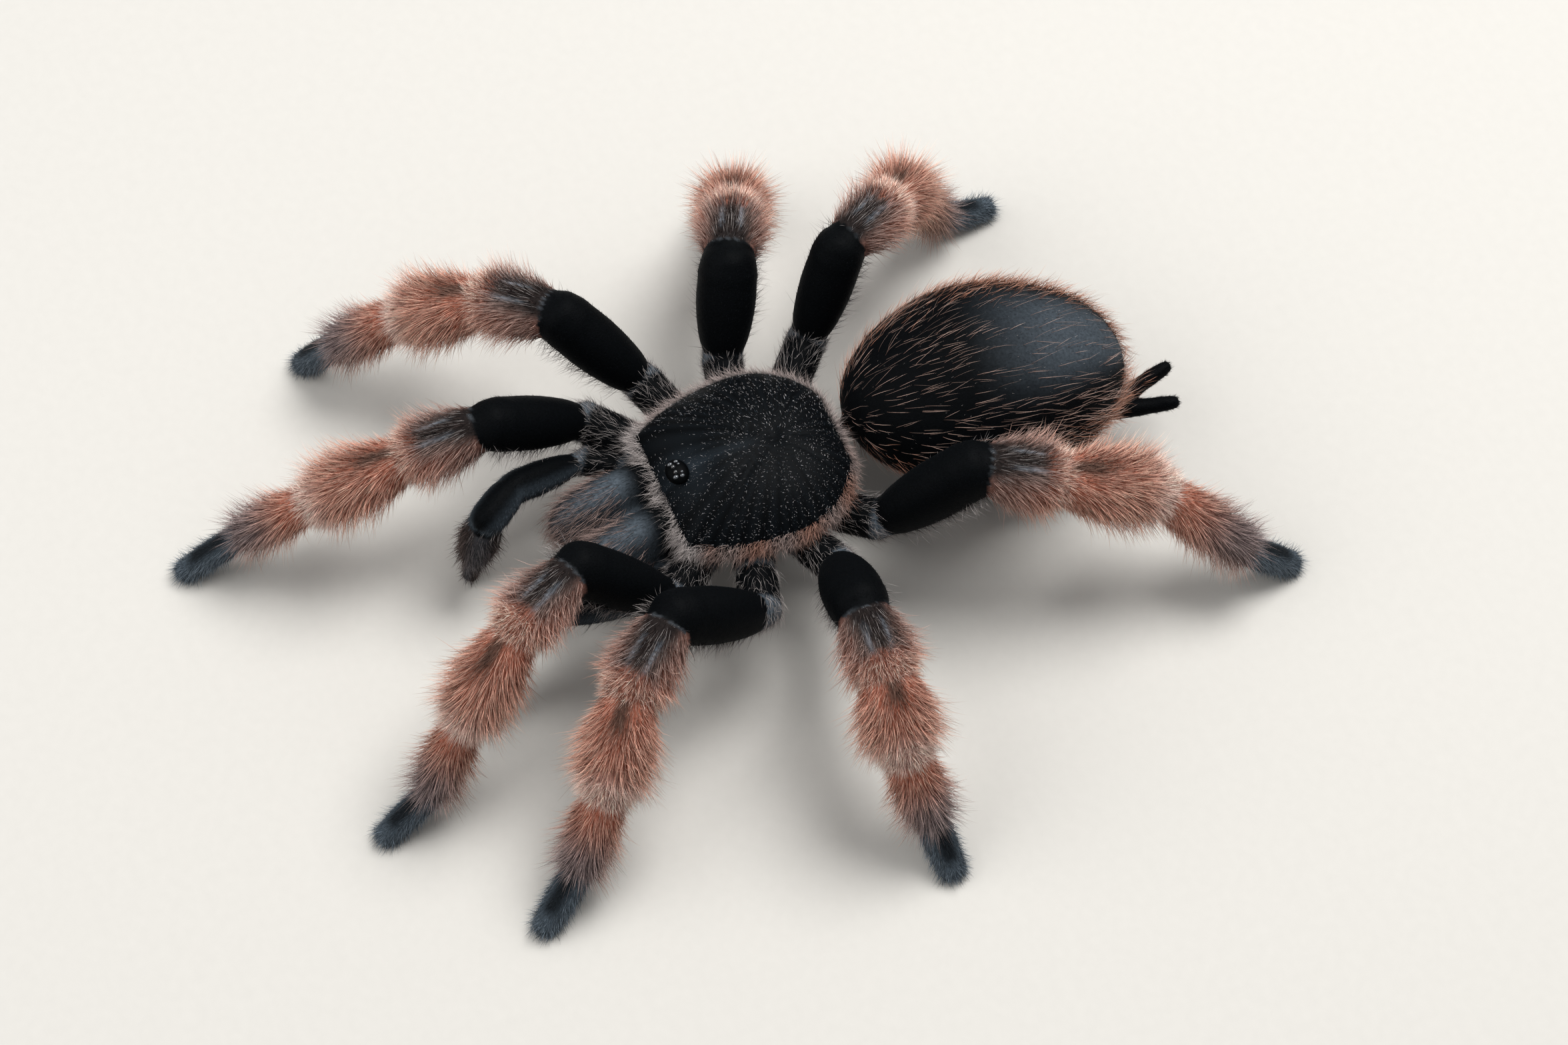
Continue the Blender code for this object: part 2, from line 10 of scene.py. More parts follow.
import bpy
import numpy as np
from bpy.props import FloatProperty, FloatVectorProperty, IntProperty, PointerProperty
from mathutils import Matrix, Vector


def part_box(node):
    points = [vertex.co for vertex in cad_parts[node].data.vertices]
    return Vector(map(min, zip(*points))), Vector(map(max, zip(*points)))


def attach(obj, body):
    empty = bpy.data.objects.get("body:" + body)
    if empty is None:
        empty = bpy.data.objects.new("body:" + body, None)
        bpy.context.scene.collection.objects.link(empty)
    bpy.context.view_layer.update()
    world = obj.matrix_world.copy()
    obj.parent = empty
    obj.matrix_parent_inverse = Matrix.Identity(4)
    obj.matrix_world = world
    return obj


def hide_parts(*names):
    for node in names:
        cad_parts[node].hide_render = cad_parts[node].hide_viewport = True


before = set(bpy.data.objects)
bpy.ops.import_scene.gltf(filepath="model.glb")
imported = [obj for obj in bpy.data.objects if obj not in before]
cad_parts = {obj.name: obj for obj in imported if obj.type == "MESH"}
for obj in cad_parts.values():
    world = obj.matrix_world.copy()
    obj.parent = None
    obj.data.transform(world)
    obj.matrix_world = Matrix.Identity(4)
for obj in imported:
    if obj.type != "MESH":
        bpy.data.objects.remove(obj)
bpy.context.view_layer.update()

bl_info = {
    "name": "Standing Tarantula",
    "version": (1, 0, 0),
    "blender": (4, 5, 0),
    "location": "View3D > Sidebar > Tarantula",
    "description": "Skin, head plate, eyes, fangs, claws and coat of a life-size tarantula",
    "category": "Add Mesh",
}

MM = 0.001
FLOOR_GAP = 0.03 * MM  # claws and hairs bend so as to stay this far above the floor
SOLE_GAP = 0.05 * MM  # the skin under the feet is flat at this height
UP = np.array((0.0, 0.0, 1.0))
SIDES = ("left", "right")
SEGMENTS = ("femur", "patella", "tibia", "metatarsus", "tarsus")
PALP_SEGMENTS = ("femur", "patella", "tibia", "tarsus")
LIMBS = {f"leg_{side}_{pair}": SEGMENTS for side in SIDES for pair in (1, 2, 3, 4)}
LIMBS |= {f"palp_{side}": PALP_SEGMENTS for side in SIDES}


# ---------------------------------------------------------------- values and colours


def linear(code):
    """An sRGB hex colour as linear red, green and blue."""
    channels = [int(code[i : i + 2], 16) / 255.0 for i in (0, 2, 4)]
    return tuple(c / 12.92 if c <= 0.04045 else ((c + 0.055) / 1.055) ** 2.4 for c in channels)


def colour(name, description, code):
    """A colour to set, whose default is a hex code."""
    return FloatVectorProperty(
        name=name, description=description, subtype="COLOR", size=3, min=0.0, max=1.0,
        default=linear(code),
    )


def length(name, description, millimetres):
    """A length to set, whose default is in millimetres."""
    return FloatProperty(
        name=name, description=description, subtype="DISTANCE", unit="LENGTH", min=0.0,
        default=millimetres * MM,
    )


def number(name, description, value):
    """A plain number to set."""
    return FloatProperty(name=name, description=description, min=0.0, default=value)


def angle(name, description, degrees):
    """An angle to set, whose default is in degrees."""
    return FloatProperty(
        name=name, description=description, subtype="ANGLE", unit="ROTATION",
        default=math.radians(degrees),
    )


class TarantulaColours(bpy.types.PropertyGroup):
    """Colours of the cuticle and of the hairs' roots and tips."""

    velvet: colour("Velvet", "Short hair of the femora and the abdomen", "030405")
    velvet_tip: colour("Velvet tips", "Where the velvet catches the light", "0C0F12")
    salmon_root: colour("Salmon roots", "Roots of the long hair on the outer legs", "853A20")
    salmon_tip: colour("Salmon tips", "Tips of the long hair on the outer legs", "F8C9B4")
    ring: colour("Pale ring", "Hair at the far end of a leg segment", "F0D6CB")
    grey_root: colour("Grey roots", "Roots of the dark hair on the patellae", "0C0D0F")
    grey_tip: colour("Grey tips", "Tips of the dark hair on the patellae", "C0A59C")
    # This colour also darkens the start of each outer leg segment as painted shade
    patch: colour("Dark patch", "Hair on top of the tibiae", "2B221D")
    # This colour is the bare stripes and pale knee and hip lines, and also the painted sheen on
    # the abdomen, the painted highlight on the jaws and the painted glint of the plate's pale
    # specks
    bald_and_sheen: colour("Bald stripe", "Bare stripes on the patellae", "7C8893")
    ash: colour("Ash", "Long pale hair under the femora and on the hips", "C6BDB9")
    slate_root: colour("Slate roots", "Roots of the hair on the feet and jaws", "2C353C")
    slate_tip: colour("Slate tips", "Tips of the hair on the feet and jaws", "848F99")
    tan_root: colour("Tan roots", "Roots of the long hair on the abdomen", "5E443C")
    tan_tip: colour("Tan tips", "Tips of the long hair on the abdomen", "DDBDAE")
    orange_root: colour("Orange roots", "Roots of the fringes", "633C2E")
    orange_tip: colour("Orange tips", "Tips of the fringes", "CD9880")
    shell: colour("Shell", "Head plate", "030405")
    # This colour is that of the plate's short hair and also of the painted sheen behind the eyes
    shell_sheen: colour("Shell sheen", "Short hair on the head plate", "2C343B")
    horn: colour("Horn", "Fangs and claws", "150B08")


class TarantulaSizes(bpy.types.PropertyGroup):
    """Sizes of the skin and the coat."""

    voxel: length("Skin grain", "Size of the cells that join the skin", 0.48)
    femur_depth: length("Femur coat", "Depth of the coat on a femur", 0.42)
    patella_depth: length("Patella coat", "Depth of the coat on a patella", 0.85)
    tibia_depth: length("Tibia coat", "Depth of the coat on a tibia", 1.35)
    metatarsus_depth: length("Metatarsus coat", "Depth of the coat on a metatarsus", 1.1)
    tarsus_depth: length("Foot coat", "Depth of the coat on a foot", 0.4)
    abdomen_depth: length("Abdomen coat", "Depth of the coat at the abdomen's rear", 1.9)
    fullness: number("Fullness", "Number of hairs, as a share of the full coat", 1.0)
    thickness: number("Hair thickness", "Thickness of the hairs, as a share of the usual", 1.0)
    seed: IntProperty(name="Seed", description="Picks where the hairs fall", default=11, min=0)


class TarantulaStage(bpy.types.PropertyGroup):
    """Camera, floor and light."""

    azimuth: angle("Azimuth", "Camera's bearing round the spider from the front", 66.7)
    elevation: angle("Elevation", "Camera's height above the floor", 60.5)
    distance: length("Distance", "From the camera to the point it looks at", 500.0)
    lens: number("Lens", "Focal length in millimetres on a 36 mm sensor", 90.0)
    aim_right: length("Aim right", "How far right of the head plate the camera looks", 4.68)
    aim_down: length("Aim down", "How far below the head plate the camera looks", 7.82)
    floor: colour("Floor", "Pale studio floor", "BDBAB4")


def settings():
    """The groups of colours, of sizes and of stage settings."""
    scene = bpy.context.scene
    return scene.tarantula_colours, scene.tarantula_sizes, scene.tarantula_stage


def unit(vectors):
    """The vectors at a length of 1."""
    vectors = np.asarray(vectors, float)
    return vectors / np.maximum(np.linalg.norm(vectors, axis=-1, keepdims=True), 1e-12)


def ramp(values, low, high):
    """0 below low, 1 above high, smooth between."""
    share = np.clip((np.asarray(values, float) - low) / (high - low), 0.0, 1.0)
    return share * share * (3.0 - 2.0 * share)


def window(values, low, high, soft):
    """1 between low and high, 0 outside, smooth over twice soft at each end."""
    return ramp(values, low - soft, low + soft) * (1.0 - ramp(values, high - soft, high + soft))


def mix(first, second, weight):
    """The first rows where weight is 0 and the second ones where it is 1."""
    weight = np.asarray(weight, float)[..., None]
    return np.asarray(first, float) * (1.0 - weight) + np.asarray(second, float) * weight


def even(tone, count):
    """One colour as rows for count points."""
    return np.broadcast_to(np.array(tone), (count, 3))


def read_rows(items, name, width, kind=np.float32):
    """A property of all of a mesh's vertices, loops or triangles, as rows."""
    values = np.empty(len(items) * width, kind)
    items.foreach_get(name, values)
    return values.reshape(-1, width)


# ---------------------------------------------------------------- places read from the frame

# The coat's radius at the start, middle and end of a segment, as a share of the middle one
SWELL = {
    "femur": (0.68, 1.0, 0.95),
    "patella": (0.89, 1.0, 0.95),
    "tibia": (0.82, 1.0, 0.82),
    "metatarsus": (0.97, 1.0, 0.76),
    "tarsus": (0.98, 1.0, 0.85),
}

# A straight stretch of the body: its ends, and the coat's radius as a polynomial of the share
Stretch = namedtuple("Stretch", "limb segment start end coat depth")


def node_points(name):
    """A CAD node's points, and the corners of its triangles."""
    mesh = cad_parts[name].data
    corners = read_rows(mesh.loops, "vertex_index", 1, np.int32)
    return read_rows(mesh.vertices, "co", 3).astype(float), corners.reshape(-1, 3)


def node_middle(name):
    """The middle of a node's box."""
    low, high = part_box(name)
    return np.array((low + high) / 2.0)


def cut_middles(name, count):
    """The middles of a node's largest flat faces, which are its cuts against its neighbours."""
    points, corners = node_points(name)
    first, second, third = (points[corners[:, i]] for i in range(3))
    normals = np.cross(second - first, third - first)
    areas = np.linalg.norm(normals, axis=1) / 2.0
    normals = unit(normals)
    reach = (normals * first).sum(1)
    level = (normals @ normals.T > 0.9995) & (abs(reach[:, None] - reach[None]) < 0.03 * MM)
    middles = []
    for _ in range(count):
        best = level[np.argmax(level @ areas)]
        weights = areas * best
        middle = ((first + second + third) / 3.0 * weights[:, None]).sum(0) / weights.sum()
        middles.append(middle)
        areas = np.where(best, 0.0, areas)
    return middles


def far_tip(name, start):
    """The end of a CAD node that lies farthest from start."""
    points, _ = node_points(name)
    run = unit(points.mean(0) - start)
    reach = (points - start) @ run
    return points[reach > reach.max() - 0.25 * MM].mean(0)


def coat_radius(name, segment, start, end):
    """The coat's radius along a node: the segment's swell, scaled to fit the node's points."""
    points, _ = node_points(name)
    span = end - start
    share = (points - start) @ span / (span @ span)
    away = np.linalg.norm(points - start - share[:, None] * span, axis=1)
    inner = (share > 0.1) & (share < 0.9) & (away > 0.6 * np.median(away))
    swell = np.polyfit((0.0, 0.5, 1.0), SWELL[segment], 2)
    return swell * np.median(away[inner] / np.polyval(swell, share[inner]))


def limb_joints(limb, segments):
    """The limb's joints from the hip to the foot's tip."""
    before = node_middle("sternum_and_coxae")
    joints = []
    for segment in segments:
        name = f"{limb}_{segment}"
        if segment == "tarsus":
            near = cut_middles(name, 1)[0]
            far = far_tip(name, near)
        else:
            near, far = sorted(cut_middles(name, 2), key=lambda p: np.linalg.norm(p - before))
        joints.append((near + before) / 2.0 if joints else near)
        before = far
    return joints + [before]


def find_stretches():
    """Every limb's hip and segments, as stretches."""
    _, sizes, _ = settings()
    found = []
    middle = node_middle("sternum_and_coxae")
    for limb, segments in LIMBS.items():
        joints = limb_joints(limb, segments)
        is_palp = limb.startswith("palp")
        root = middle + (joints[0] - middle) * (0.5 if is_palp else 0.35)
        root[2] = joints[0][2] * 0.35 + middle[2] * 0.65
        hip = (2.1 if is_palp else 3.05) * MM
        found.append(Stretch(limb, "coxa", root, joints[0], np.array((0.0, 0.0, hip)), 0.35 * MM))
        for index, segment in enumerate(segments):
            start, end = joints[index], joints[index + 1]
            coat = coat_radius(f"{limb}_{segment}", segment, start, end)
            depth = getattr(sizes, f"{segment}_depth") * (0.7 if is_palp else 1.0)
            least = 0.75 * MM if is_palp and segment == "femur" else sizes.femur_depth
            found.append(Stretch(limb, segment, start, end, coat, max(depth, least)))
    return found


def skin_radius(stretch, share):
    """The coat's radius less its depth, with a groove on a hip and a lip before a joint."""
    share = np.clip(share, 0.0, 1.0)
    radius = np.polyval(stretch.coat, share) - stretch.depth
    if stretch.segment == "coxa":
        return radius * (1.0 - 0.16 * window(share, 0.44, 0.5, 0.06))
    if stretch.segment == "tarsus":
        return radius
    narrow = 0.24 if stretch.segment in ("tibia", "metatarsus") else 0.1
    lip = 0.04 * window(share, 0.86, 0.97, 0.05)
    return radius * (1.0 + lip - narrow * (1.0 - ramp(share, 0.0, 0.2)))


Surface = namedtuple("Surface", "points normals triangles")


def surface_of(piece):
    """A piece's points, their normals and the corners of its triangles."""
    mesh = piece.data
    mesh.calc_loop_triangles()
    points, normals = (read_rows(mesh.vertices, name, 3) for name in ("co", "normal"))
    return Surface(points, normals, read_rows(mesh.loop_triangles, "vertices", 3, np.int32))


# ---------------------------------------------------------------- modelling helpers

SEGMENT_SIDES, SEGMENT_RINGS = 28, 36
# How far a segment's rounded ends reach past its joints, as shares of its radius there
CAPS = {"coxa": 0.6, "tarsus": 0.45}
USUAL_CAP = 0.8


def select_only(*pieces):
    """Selects the pieces and nothing else, the first one being active."""
    if bpy.context.object and bpy.context.object.mode != "OBJECT":
        bpy.ops.object.mode_set(mode="OBJECT")
    bpy.ops.object.select_all(action="DESELECT")
    for piece in pieces:
        piece.select_set(True)
    if pieces:
        bpy.context.view_layer.objects.active = pieces[0]


def move_points(piece, points):
    """Puts a piece's points at new places."""
    piece.data.vertices.foreach_set("co", points.astype(np.float32).ravel())
    piece.data.update()


def settle_faces(mesh):
    """Puts the faces in one order, because the sphere operator's order changes from run to run."""
    faces = sorted(tuple(face.vertices) for face in mesh.polygons)
    points = [tuple(vertex.co) for vertex in mesh.vertices]
    mesh.clear_geometry()
    mesh.from_pydata(points, [], faces)


def add_sphere(name, sides, rings, shape):
    """A sphere primitive whose points shape() then moves; it takes and gives an array."""
    select_only()
    bpy.ops.mesh.primitive_uv_sphere_add(segments=sides, ring_count=rings, radius=1.0)
    piece = bpy.context.object
    piece.name = name
    settle_faces(piece.data)
    move_points(piece, shape(read_rows(piece.data.vertices, "co", 3).astype(float)))
    bpy.ops.object.mode_set(mode="EDIT")
    bpy.ops.mesh.select_all(action="SELECT")
    bpy.ops.mesh.normals_make_consistent(inside=False)
    bpy.ops.object.mode_set(mode="OBJECT")
    bpy.ops.object.shade_smooth()
    return piece


def tube_shape(path, half_width, half_height):
    """Lays a sphere's rings along path(share), from its lower pole to its upper one."""

    def shape(points):
        share = 1.0 - np.arccos(np.clip(points[:, 2], -1.0, 1.0)) / math.pi
        ring = np.hypot(points[:, 0], points[:, 1])
        turn = np.arctan2(points[:, 1], points[:, 0])
        step = 0.004
        run = unit(path(np.minimum(share + step, 1.0)) - path(np.maximum(share - step, 0.0)))
        across = unit(np.cross(UP, run))
        upper = np.cross(run, across)
        inside = np.where(ring > 1e-6, 1.0, 0.0)
        wide = (half_width(share) * inside * np.cos(turn))[:, None] * across
        high = (half_height(share) * inside * np.sin(turn))[:, None] * upper
        return path(share) + wide + high

    return shape


def add_segment(name, start, end, radius_at, cap=USUAL_CAP):
    """A round-ended segment that reaches past both its joints by cap times its radius."""
    span = np.linalg.norm(end - start)
    run = (end - start) / span
    before, after = radius_at(0.0) * cap, radius_at(1.0) * cap
    total = before + span + after

    def path(share):
        return start + run * (np.asarray(share)[:, None] * total - before)

    def radius(share):
        place = share * total - before
        past_start = np.clip(-place / before, 0.0, 1.0)
        past_end = np.clip((place - span) / after, 0.0, 1.0)
        rounding = np.sqrt(np.clip(1.0 - past_start**2 - past_end**2, 0.0, 1.0))
        return radius_at(np.clip(place / span, 0.0, 1.0)) * rounding

    return add_sphere(name, SEGMENT_SIDES, SEGMENT_RINGS, tube_shape(path, radius, radius))


def apply_modifier(piece, kind, **values):
    """Adds a modifier with the values given, and applies it."""
    select_only(piece)
    modifier = piece.modifiers.new(kind.title(), kind)
    for name, value in values.items():
        setattr(modifier, name, value)
    bpy.ops.object.modifier_apply(modifier=modifier.name)


def join_pieces(name, pieces):
    """Joins the pieces into one."""
    select_only(*pieces)
    bpy.ops.object.join()
    bpy.context.object.name = name
    return bpy.context.object


def finish_piece(piece, material, replaced=()):
    """Gives a piece its material and places it on the frame."""
    piece.data.materials.clear()
    piece.data.materials.append(material)
    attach(piece, "root")
    if replaced:
        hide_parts(*replaced)


def paint(piece, colours):
    """Stores each point's colour as the piece's marking, which the materials read."""
    attribute = piece.data.color_attributes.new(
        name="marking", type="FLOAT_COLOR", domain="POINT"
    )
    values = np.ones((len(colours), 4), np.float32)
    values[:, :3] = colours
    attribute.data.foreach_set("color", values.ravel())


# ---------------------------------------------------------------- materials


def add_node(tree, kind, values=None, links=None, **options):
    """Adds a node, sets its options and input values, and links its inputs."""
    node = tree.nodes.new(kind)
    for name, value in options.items():
        setattr(node, name, value)
    for key, value in (values or {}).items():
        node.inputs[key].default_value = value
    for key, source in (links or {}).items():
        tree.links.new(source, node.inputs[key])
    return node


def new_material(name, shader_values, marked=False):
    """A material with the shader's values, coloured by its pieces' marking if marked."""
    material = bpy.data.materials.new(name)
    material.use_nodes = True
    tree = material.node_tree
    shader = tree.nodes["Principled BSDF"]
    for key, value in shader_values.items():
        shader.inputs[key].default_value = value
    if marked:
        marking = add_node(tree, "ShaderNodeAttribute", attribute_name="marking")
        tree.links.new(marking.outputs["Color"], shader.inputs["Base Color"])
    return material, tree, shader


def raise_pattern(tree, shader, texture, output, values, depth, strength):
    """Raises a texture on the surface by a depth in metres."""
    place = add_node(tree, "ShaderNodeTexCoord")
    pattern = add_node(tree, texture, values, {"Vector": place.outputs["Object"]})
    relief = add_node(
        tree, "ShaderNodeBump", {"Strength": strength, "Distance": depth},
        {"Height": pattern.outputs[output]},
    )
    tree.links.new(relief.outputs["Normal"], shader.inputs["Normal"])


def mottle(tree, shader, grain, spans, values=None, links=None):
    """Lightens and darkens a base colour, given by value or link, in spots of grain metres."""
    place = add_node(tree, "ShaderNodeTexCoord")
    noise = add_node(
        tree, "ShaderNodeTexNoise", {"Scale": 1.0 / grain, "Detail": 3.0},
        {"Vector": place.outputs["Object"]},
    )
    shade = add_node(tree, "ShaderNodeMapRange", spans, {"Value": noise.outputs["Fac"]})
    links = {**(links or {}), "Scale": shade.outputs["Result"]}
    tinted = add_node(tree, "ShaderNodeVectorMath", values, links, operation="SCALE")
    tree.links.new(tinted.outputs["Vector"], shader.inputs["Base Color"])


def cuticle_material():
    """Chitin under fine down: matt and mottled, with the hairs' pores 0.25 mm apart."""
    material, tree, shader = new_material("downy cuticle", {
        "Roughness": 0.6, "Specular IOR Level": 0.03, "Sheen Weight": 0.005,
        "Sheen Roughness": 0.45, "Sheen Tint": (*linear("CEDDED"), 1.0),
    })
    marking = add_node(tree, "ShaderNodeAttribute", attribute_name="marking")
    spots = {"From Min": 0.3, "From Max": 0.7, "To Min": 0.7, "To Max": 1.2}
    mottle(tree, shader, 0.35 * MM, spots, links={0: marking.outputs["Color"]})
    pores = {"Scale": 1.0 / (0.25 * MM)}
    raise_pattern(tree, shader, "ShaderNodeTexVoronoi", "Distance", pores, 0.05 * MM, 0.45)
    return material


def hair_material():
    """Keratin-like chitin hairs: satin, so that each one glints a little along its side."""
    values = {"Roughness": 0.5, "Specular IOR Level": 0.06}
    return new_material("chitin hair", values, marked=True)[0]


def shell_material():
    """Smooth chitin plate under a thin down: satin, with a fine grain that breaks its shine."""
    material, tree, shader = new_material("chitin plate", {
        "Roughness": 0.5, "Specular IOR Level": 0.03, "Sheen Weight": 0.004,
        "Sheen Roughness": 0.35, "Sheen Tint": (*linear("C4DAED"), 1.0),
    }, marked=True)
    wrinkles = {"Scale": 1.0 / (0.3 * MM), "Detail": 4.0}
    raise_pattern(tree, shader, "ShaderNodeTexNoise", "Fac", wrinkles, 0.04 * MM, 0.5)
    return material


def polished_material(name, tint, roughness, coat):
    """Polished horn or lens: an even colour under a clear gloss, with faint waves in it."""
    material, tree, shader = new_material(
        name, {"Base Color": (*tint, 1.0), "Roughness": roughness, "Coat Weight": coat}
    )
    waves = {"Scale": 1.0 / (0.2 * MM), "Detail": 2.0}
    raise_pattern(tree, shader, "ShaderNodeTexNoise", "Fac", waves, 0.01 * MM, 0.3)
    return material


# ---------------------------------------------------------------- where on the body a point lies

# Where a point lies: its stretch, the share of the way along it, the turn from its top, the
# stretch's run and how much nearer it is than the next stretch, which is 0 at a joint
Place = namedtuple("Place", "index share turn run seam")


def locate(points, stretches):
    """The place of each point."""
    best = np.full(len(points), 1e6)
    second = best.copy()
    index = np.zeros(len(points), int)
    share = np.zeros(len(points))
    for order, stretch in enumerate(stretches):
        span = stretch.end - stretch.start
        along = np.clip((points - stretch.start) @ span / (span @ span), 0.0, 1.0)
        away = np.linalg.norm(points - stretch.start - along[:, None] * span, axis=1)
        away = away / skin_radius(stretch, along)
        nearer = away < best
        second = np.where(nearer, best, np.minimum(second, away))
        best = np.where(nearer, away, best)
        index = np.where(nearer, order, index)
        share = np.where(nearer, along, share)
    starts = np.array([s.start for s in stretches])
    runs = unit(np.array([s.end - s.start for s in stretches]))
    run = runs[index]
    upper = unit(UP - run * run[:, 2:3])
    across = np.cross(run, upper)
    offset = points - starts[index]
    turn = np.arctan2((offset * across).sum(1), (offset * upper).sum(1))
    return Place(index, share, turn, run, second / best - 1.0)


def part_of(place, chosen):
    """The chosen rows of a place."""
    return Place(*(values[chosen] for values in place))


def knee_line(place):
    """A thin pale arc over the top of a femur's far end."""
    line = (1.0 - ramp(place.seam, 0.03, 0.07)) * ramp(place.share, 0.6, 0.8)
    return line * (1.0 - ramp(abs(place.turn), 1.3, 1.8))


def patella_crown(place):
    """The black wedge on top of a patella, widest at the knee."""
    edge = 1.0 - 1.15 * place.share
    return 1.0 - ramp(abs(place.turn) - edge, -0.2, 0.25)


def patella_stripe(place):
    """Two bare bluish stripes along the top of a patella's outer half."""
    return window(abs(place.turn), 0.3, 0.42, 0.07) * window(place.share, 0.42, 0.86, 0.12)


def leg_colours(segment, place):
    """Root and tip colours of the coat over a leg segment."""
    colours, _, _ = settings()
    share, side = place.share, abs(place.turn)
    velvet, velvet_tip = even(colours.velvet, len(share)), even(colours.velvet_tip, len(share))
    if segment == "femur":
        knee = knee_line(place)
        return mix(velvet, colours.bald_and_sheen, 0.12 * knee), mix(velvet_tip, colours.ash, 0.18 * knee)
    hidden = 1.0 - ramp(share, 0.0, 0.16)  # the start lies in the shade of the fringe before it
    salmon_root = mix(colours.salmon_root, colours.patch, 0.5 * hidden)
    salmon_tip = mix(colours.salmon_tip, colours.salmon_root, 0.55 * hidden)
    ring = ramp(share, 0.78, 0.94)
    if segment == "patella":
        dark = 1.0 - (0.25 + 0.75 * ramp(share, 0.2, 0.85)) * ramp(side, 0.55, 1.3)
        root = mix(salmon_root, colours.grey_root, dark)
        tip = mix(salmon_tip, colours.grey_tip, 0.25 + 0.6 * dark)
        black = patella_crown(place)
        root = mix(root, velvet, 0.8 * black)
        tip = mix(tip, velvet_tip, 0.85 * black)
        root = mix(root, colours.bald_and_sheen, 0.6 * patella_stripe(place))
        return mix(root, colours.salmon_root, 0.7 * ring), mix(tip, colours.salmon_tip, 0.8 * ring)
    if segment == "tibia":
        patch = (1.0 - ramp(side, 0.1, 0.5)) * window(share, 0.05, 0.45, 0.1)
        root = mix(salmon_root, colours.patch, 0.9 * patch)
        tip = mix(salmon_tip, colours.patch, 0.7 * patch)
        return mix(root, colours.ring, 0.25 * ring), mix(tip, colours.ring, 0.85 * ring)
    if segment == "metatarsus":
        far = ramp(share, 0.25, 0.75)
        upper = 1.0 - ramp(side, 0.7, 1.8)
        root = mix(salmon_root, colours.slate_root, 0.85 * far)
        tip = mix(salmon_tip, colours.slate_tip, 0.75 * far * upper)
        return root, mix(tip, colours.grey_tip, 0.5 * far)
    if segment == "tarsus":
        top = (1.0 - ramp(side, 0.2, 1.0)) * window(share, 0.08, 0.76, 0.12)
        root = mix(colours.slate_root, velvet, 0.9 * top)
        return root, mix(colours.slate_tip, velvet_tip, 0.85 * top)
    raise ValueError(f"no colours for a {segment}")


def palp_colours(segment, place):
    """Root and tip colours of the coat over a segment of a palp."""
    colours, _, _ = settings()
    # Slate on the flanks: partly slate hair, partly a painted sheen
    edge = window(abs(place.turn), 0.9, 1.9, 0.5)
    root = mix(colours.velvet, colours.slate_root, 0.5 * edge)
    tip = mix(colours.velvet_tip, colours.slate_tip, 0.6 * edge)
    if segment in ("tibia", "tarsus"):
        tip = mix(tip, colours.grey_tip, 0.3)
    return root, tip


def body_colours(place, stretches):
    """Root and tip colours at each located point of the skin."""
    colours, _, _ = settings()
    root = np.tile(np.array(colours.velvet), (len(place.index), 1))
    tip = np.tile(np.array(colours.velvet_tip), (len(place.index), 1))
    for order, stretch in enumerate(stretches):
        here = place.index == order
        if not here.any():
            continue
        mine = part_of(place, here)
        if stretch.segment == "coxa":
            arc = window(mine.share, 0.44, 0.5, 0.05) + ramp(mine.share, 0.9, 0.97)
            root[here] = mix(root[here], colours.bald_and_sheen, 0.4 * arc)
        elif stretch.limb.startswith("leg"):
            root[here], tip[here] = leg_colours(stretch.segment, mine)
        elif stretch.limb.startswith("palp"):
            root[here], tip[here] = palp_colours(stretch.segment, mine)
        elif stretch.limb == "chelicera":
            # Slate on the jaws, in stripes round them with one along the top: partly their
            # slate-blue hair, partly a painted highlight
            slate = ramp(mine.share, 0.0, 0.3) * (0.7 + 0.3 * np.cos(mine.turn * 5.0))
            root[here] = mix(root[here], colours.bald_and_sheen, 0.24 * slate)
            tip[here] = mix(tip[here], colours.bald_and_sheen, 0.75 * slate)
        elif stretch.limb == "abdomen":
            # Painted sheen: the top of the abdomen's rear half is painted paler, as the highlight
            # that light leaves on its velvet
            sheen = window(mine.share, 0.5, 1.1, 0.25) * (1.0 - ramp(abs(mine.turn), 0.25, 1.0))
            root[here] = mix(root[here], colours.bald_and_sheen, 0.17 * sheen)
            tip[here] = mix(tip[here], colours.bald_and_sheen, 0.36 * sheen)
    return root, tip


# ---------------------------------------------------------------- the skin


def body_stretches():
    """The parts of the body that aren't limb segments, as stretches for finding one's place."""
    start, end = abdomen_ends()
    radius = np.array((0.0, 0.0, 12.0 * MM))
    found = [Stretch("abdomen", "abdomen", start, end, radius, 0.0)]
    middle = node_middle("sternum_and_coxae")
    ahead, behind = middle + (0.0, -4.0 * MM, 0.0), middle + (0.0, 5.0 * MM, 0.0)
    found.append(Stretch("sternum", "sternum", ahead, behind, np.array((0.0, 0.0, 6.0 * MM)), 0.0))
    for side in SIDES:
        low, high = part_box(f"chelicera_{side}")
        middle = node_middle(f"chelicera_{side}")
        back = np.array((middle[0], high[1], high[2] - 4.5 * MM))
        front = np.array((middle[0], low[1] + 2.5 * MM, low[2] + 3.0 * MM))
        radius = np.array((0.0, 0.0, 3.2 * MM))
        found.append(Stretch("chelicera", side, back, front, radius, 0.0))
        start, end = spinneret_ends(side)
        radius = np.array((0.0, 0.0, 2.0 * MM))
        found.append(Stretch("spinneret", side, start, end, radius, 0.0))
    return found


def all_stretches():
    """The stretches of the limbs and then those of the body."""
    return find_stretches() + body_stretches()


